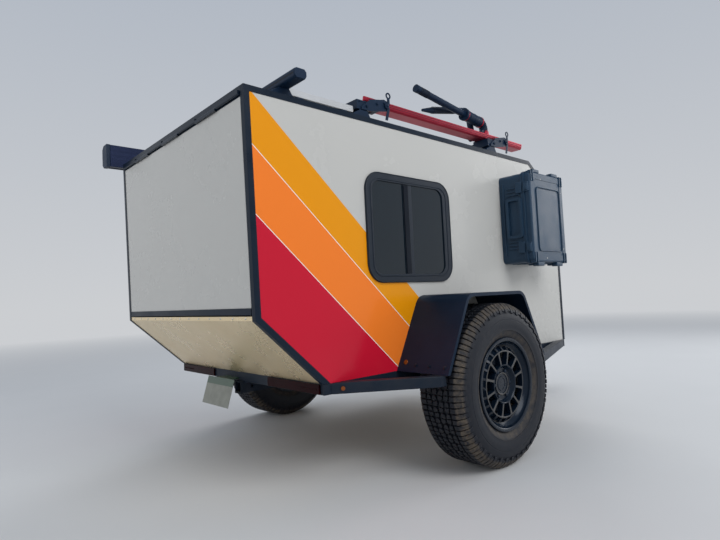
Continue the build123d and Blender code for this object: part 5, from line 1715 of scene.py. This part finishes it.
class TRAILER_OT_folding_arms(bpy.types.Operator):
    """Add the ribs, rings, grips and knob of the folding arms"""

    bl_idname = "trailer.folding_arms"
    bl_label = "Folding arms"

    def execute(self, context):
        make_arm_details()
        return {"FINISHED"}


class TRAILER_OT_solar(bpy.types.Operator):
    """Add the junction box and bolts of the solar panel"""

    bl_idname = "trailer.solar"
    bl_label = "Solar panel"

    def execute(self, context):
        make_solar_details()
        return {"FINISHED"}


class TRAILER_OT_rear(bpy.types.Operator):
    """Add the screws of the lip and the beads of the tail lamps"""

    bl_idname = "trailer.rear"
    bl_label = "Rear"

    def execute(self, context):
        make_rear_details()
        return {"FINISHED"}


class TRAILER_OT_fender_fittings(bpy.types.Operator):
    """Add the bolts and reflectors of the fenders"""

    bl_idname = "trailer.fender_fittings"
    bl_label = "Fender fittings"

    def execute(self, context):
        make_fender_details()
        return {"FINISHED"}


class TRAILER_OT_chassis(bpy.types.Operator):
    """Add the bolts of the frame, receiver and coupler"""

    bl_idname = "trailer.chassis"
    bl_label = "Chassis"

    def execute(self, context):
        make_chassis_details()
        return {"FINISHED"}


class TRAILER_OT_tongue_jack(bpy.types.Operator):
    """Add the grip, cap and bolts of the tongue jack"""

    bl_idname = "trailer.tongue_jack"
    bl_label = "Tongue jack"

    def execute(self, context):
        make_jack_details()
        return {"FINISHED"}


class TRAILER_OT_mattress(bpy.types.Operator):
    """Model the padded mattress"""

    bl_idname = "trailer.mattress"
    bl_label = "Mattress"

    def execute(self, context):
        make_mattress()
        return {"FINISHED"}


OPERATORS = (
    TRAILER_OT_stage,
    TRAILER_OT_finishes,
    TRAILER_OT_edges,
    TRAILER_OT_tyres,
    TRAILER_OT_rims,
    TRAILER_OT_wheel_fittings,
    TRAILER_OT_windows,
    TRAILER_OT_door,
    TRAILER_OT_storage_case,
    TRAILER_OT_roof_bars,
    TRAILER_OT_awning,
    TRAILER_OT_bicycle_tray,
    TRAILER_OT_folding_arms,
    TRAILER_OT_solar,
    TRAILER_OT_rear,
    TRAILER_OT_fender_fittings,
    TRAILER_OT_chassis,
    TRAILER_OT_tongue_jack,
    TRAILER_OT_mattress,
)
GROUPS = {
    "trailer_colours": TrailerColours,
    "trailer_stripes": TrailerStripes,
    "trailer_tyre": TrailerTyre,
    "trailer_camera": TrailerCamera,
}


class TRAILER_PT_panel(bpy.types.Panel):
    """Sizes, colours and steps of the trailer"""

    bl_label = "Trailer"
    bl_space_type = "VIEW_3D"
    bl_region_type = "UI"
    bl_category = "Trailer"

    def draw(self, context):
        for name in GROUPS:
            box = self.layout.box()
            group = getattr(context.scene, name)
            for key in group.bl_rna.properties.keys():
                if key not in {"rna_type", "name"}:
                    box.prop(group, key)
        for step in OPERATORS:
            self.layout.operator(step.bl_idname)


def register():
    for group in GROUPS.values():
        bpy.utils.register_class(group)
    for step in OPERATORS:
        bpy.utils.register_class(step)
    bpy.utils.register_class(TRAILER_PT_panel)
    for name, group in GROUPS.items():
        setattr(bpy.types.Scene, name, PointerProperty(type=group))


def unregister():
    for name in GROUPS:
        delattr(bpy.types.Scene, name)
    bpy.utils.unregister_class(TRAILER_PT_panel)
    for step in reversed(OPERATORS):
        bpy.utils.unregister_class(step)
    for group in reversed(GROUPS.values()):
        bpy.utils.unregister_class(group)


def main():
    register()
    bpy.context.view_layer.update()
    for step in OPERATORS:
        getattr(bpy.ops.trailer, step.bl_idname.split(".")[1])()


if __name__ == "__main__":
    main()
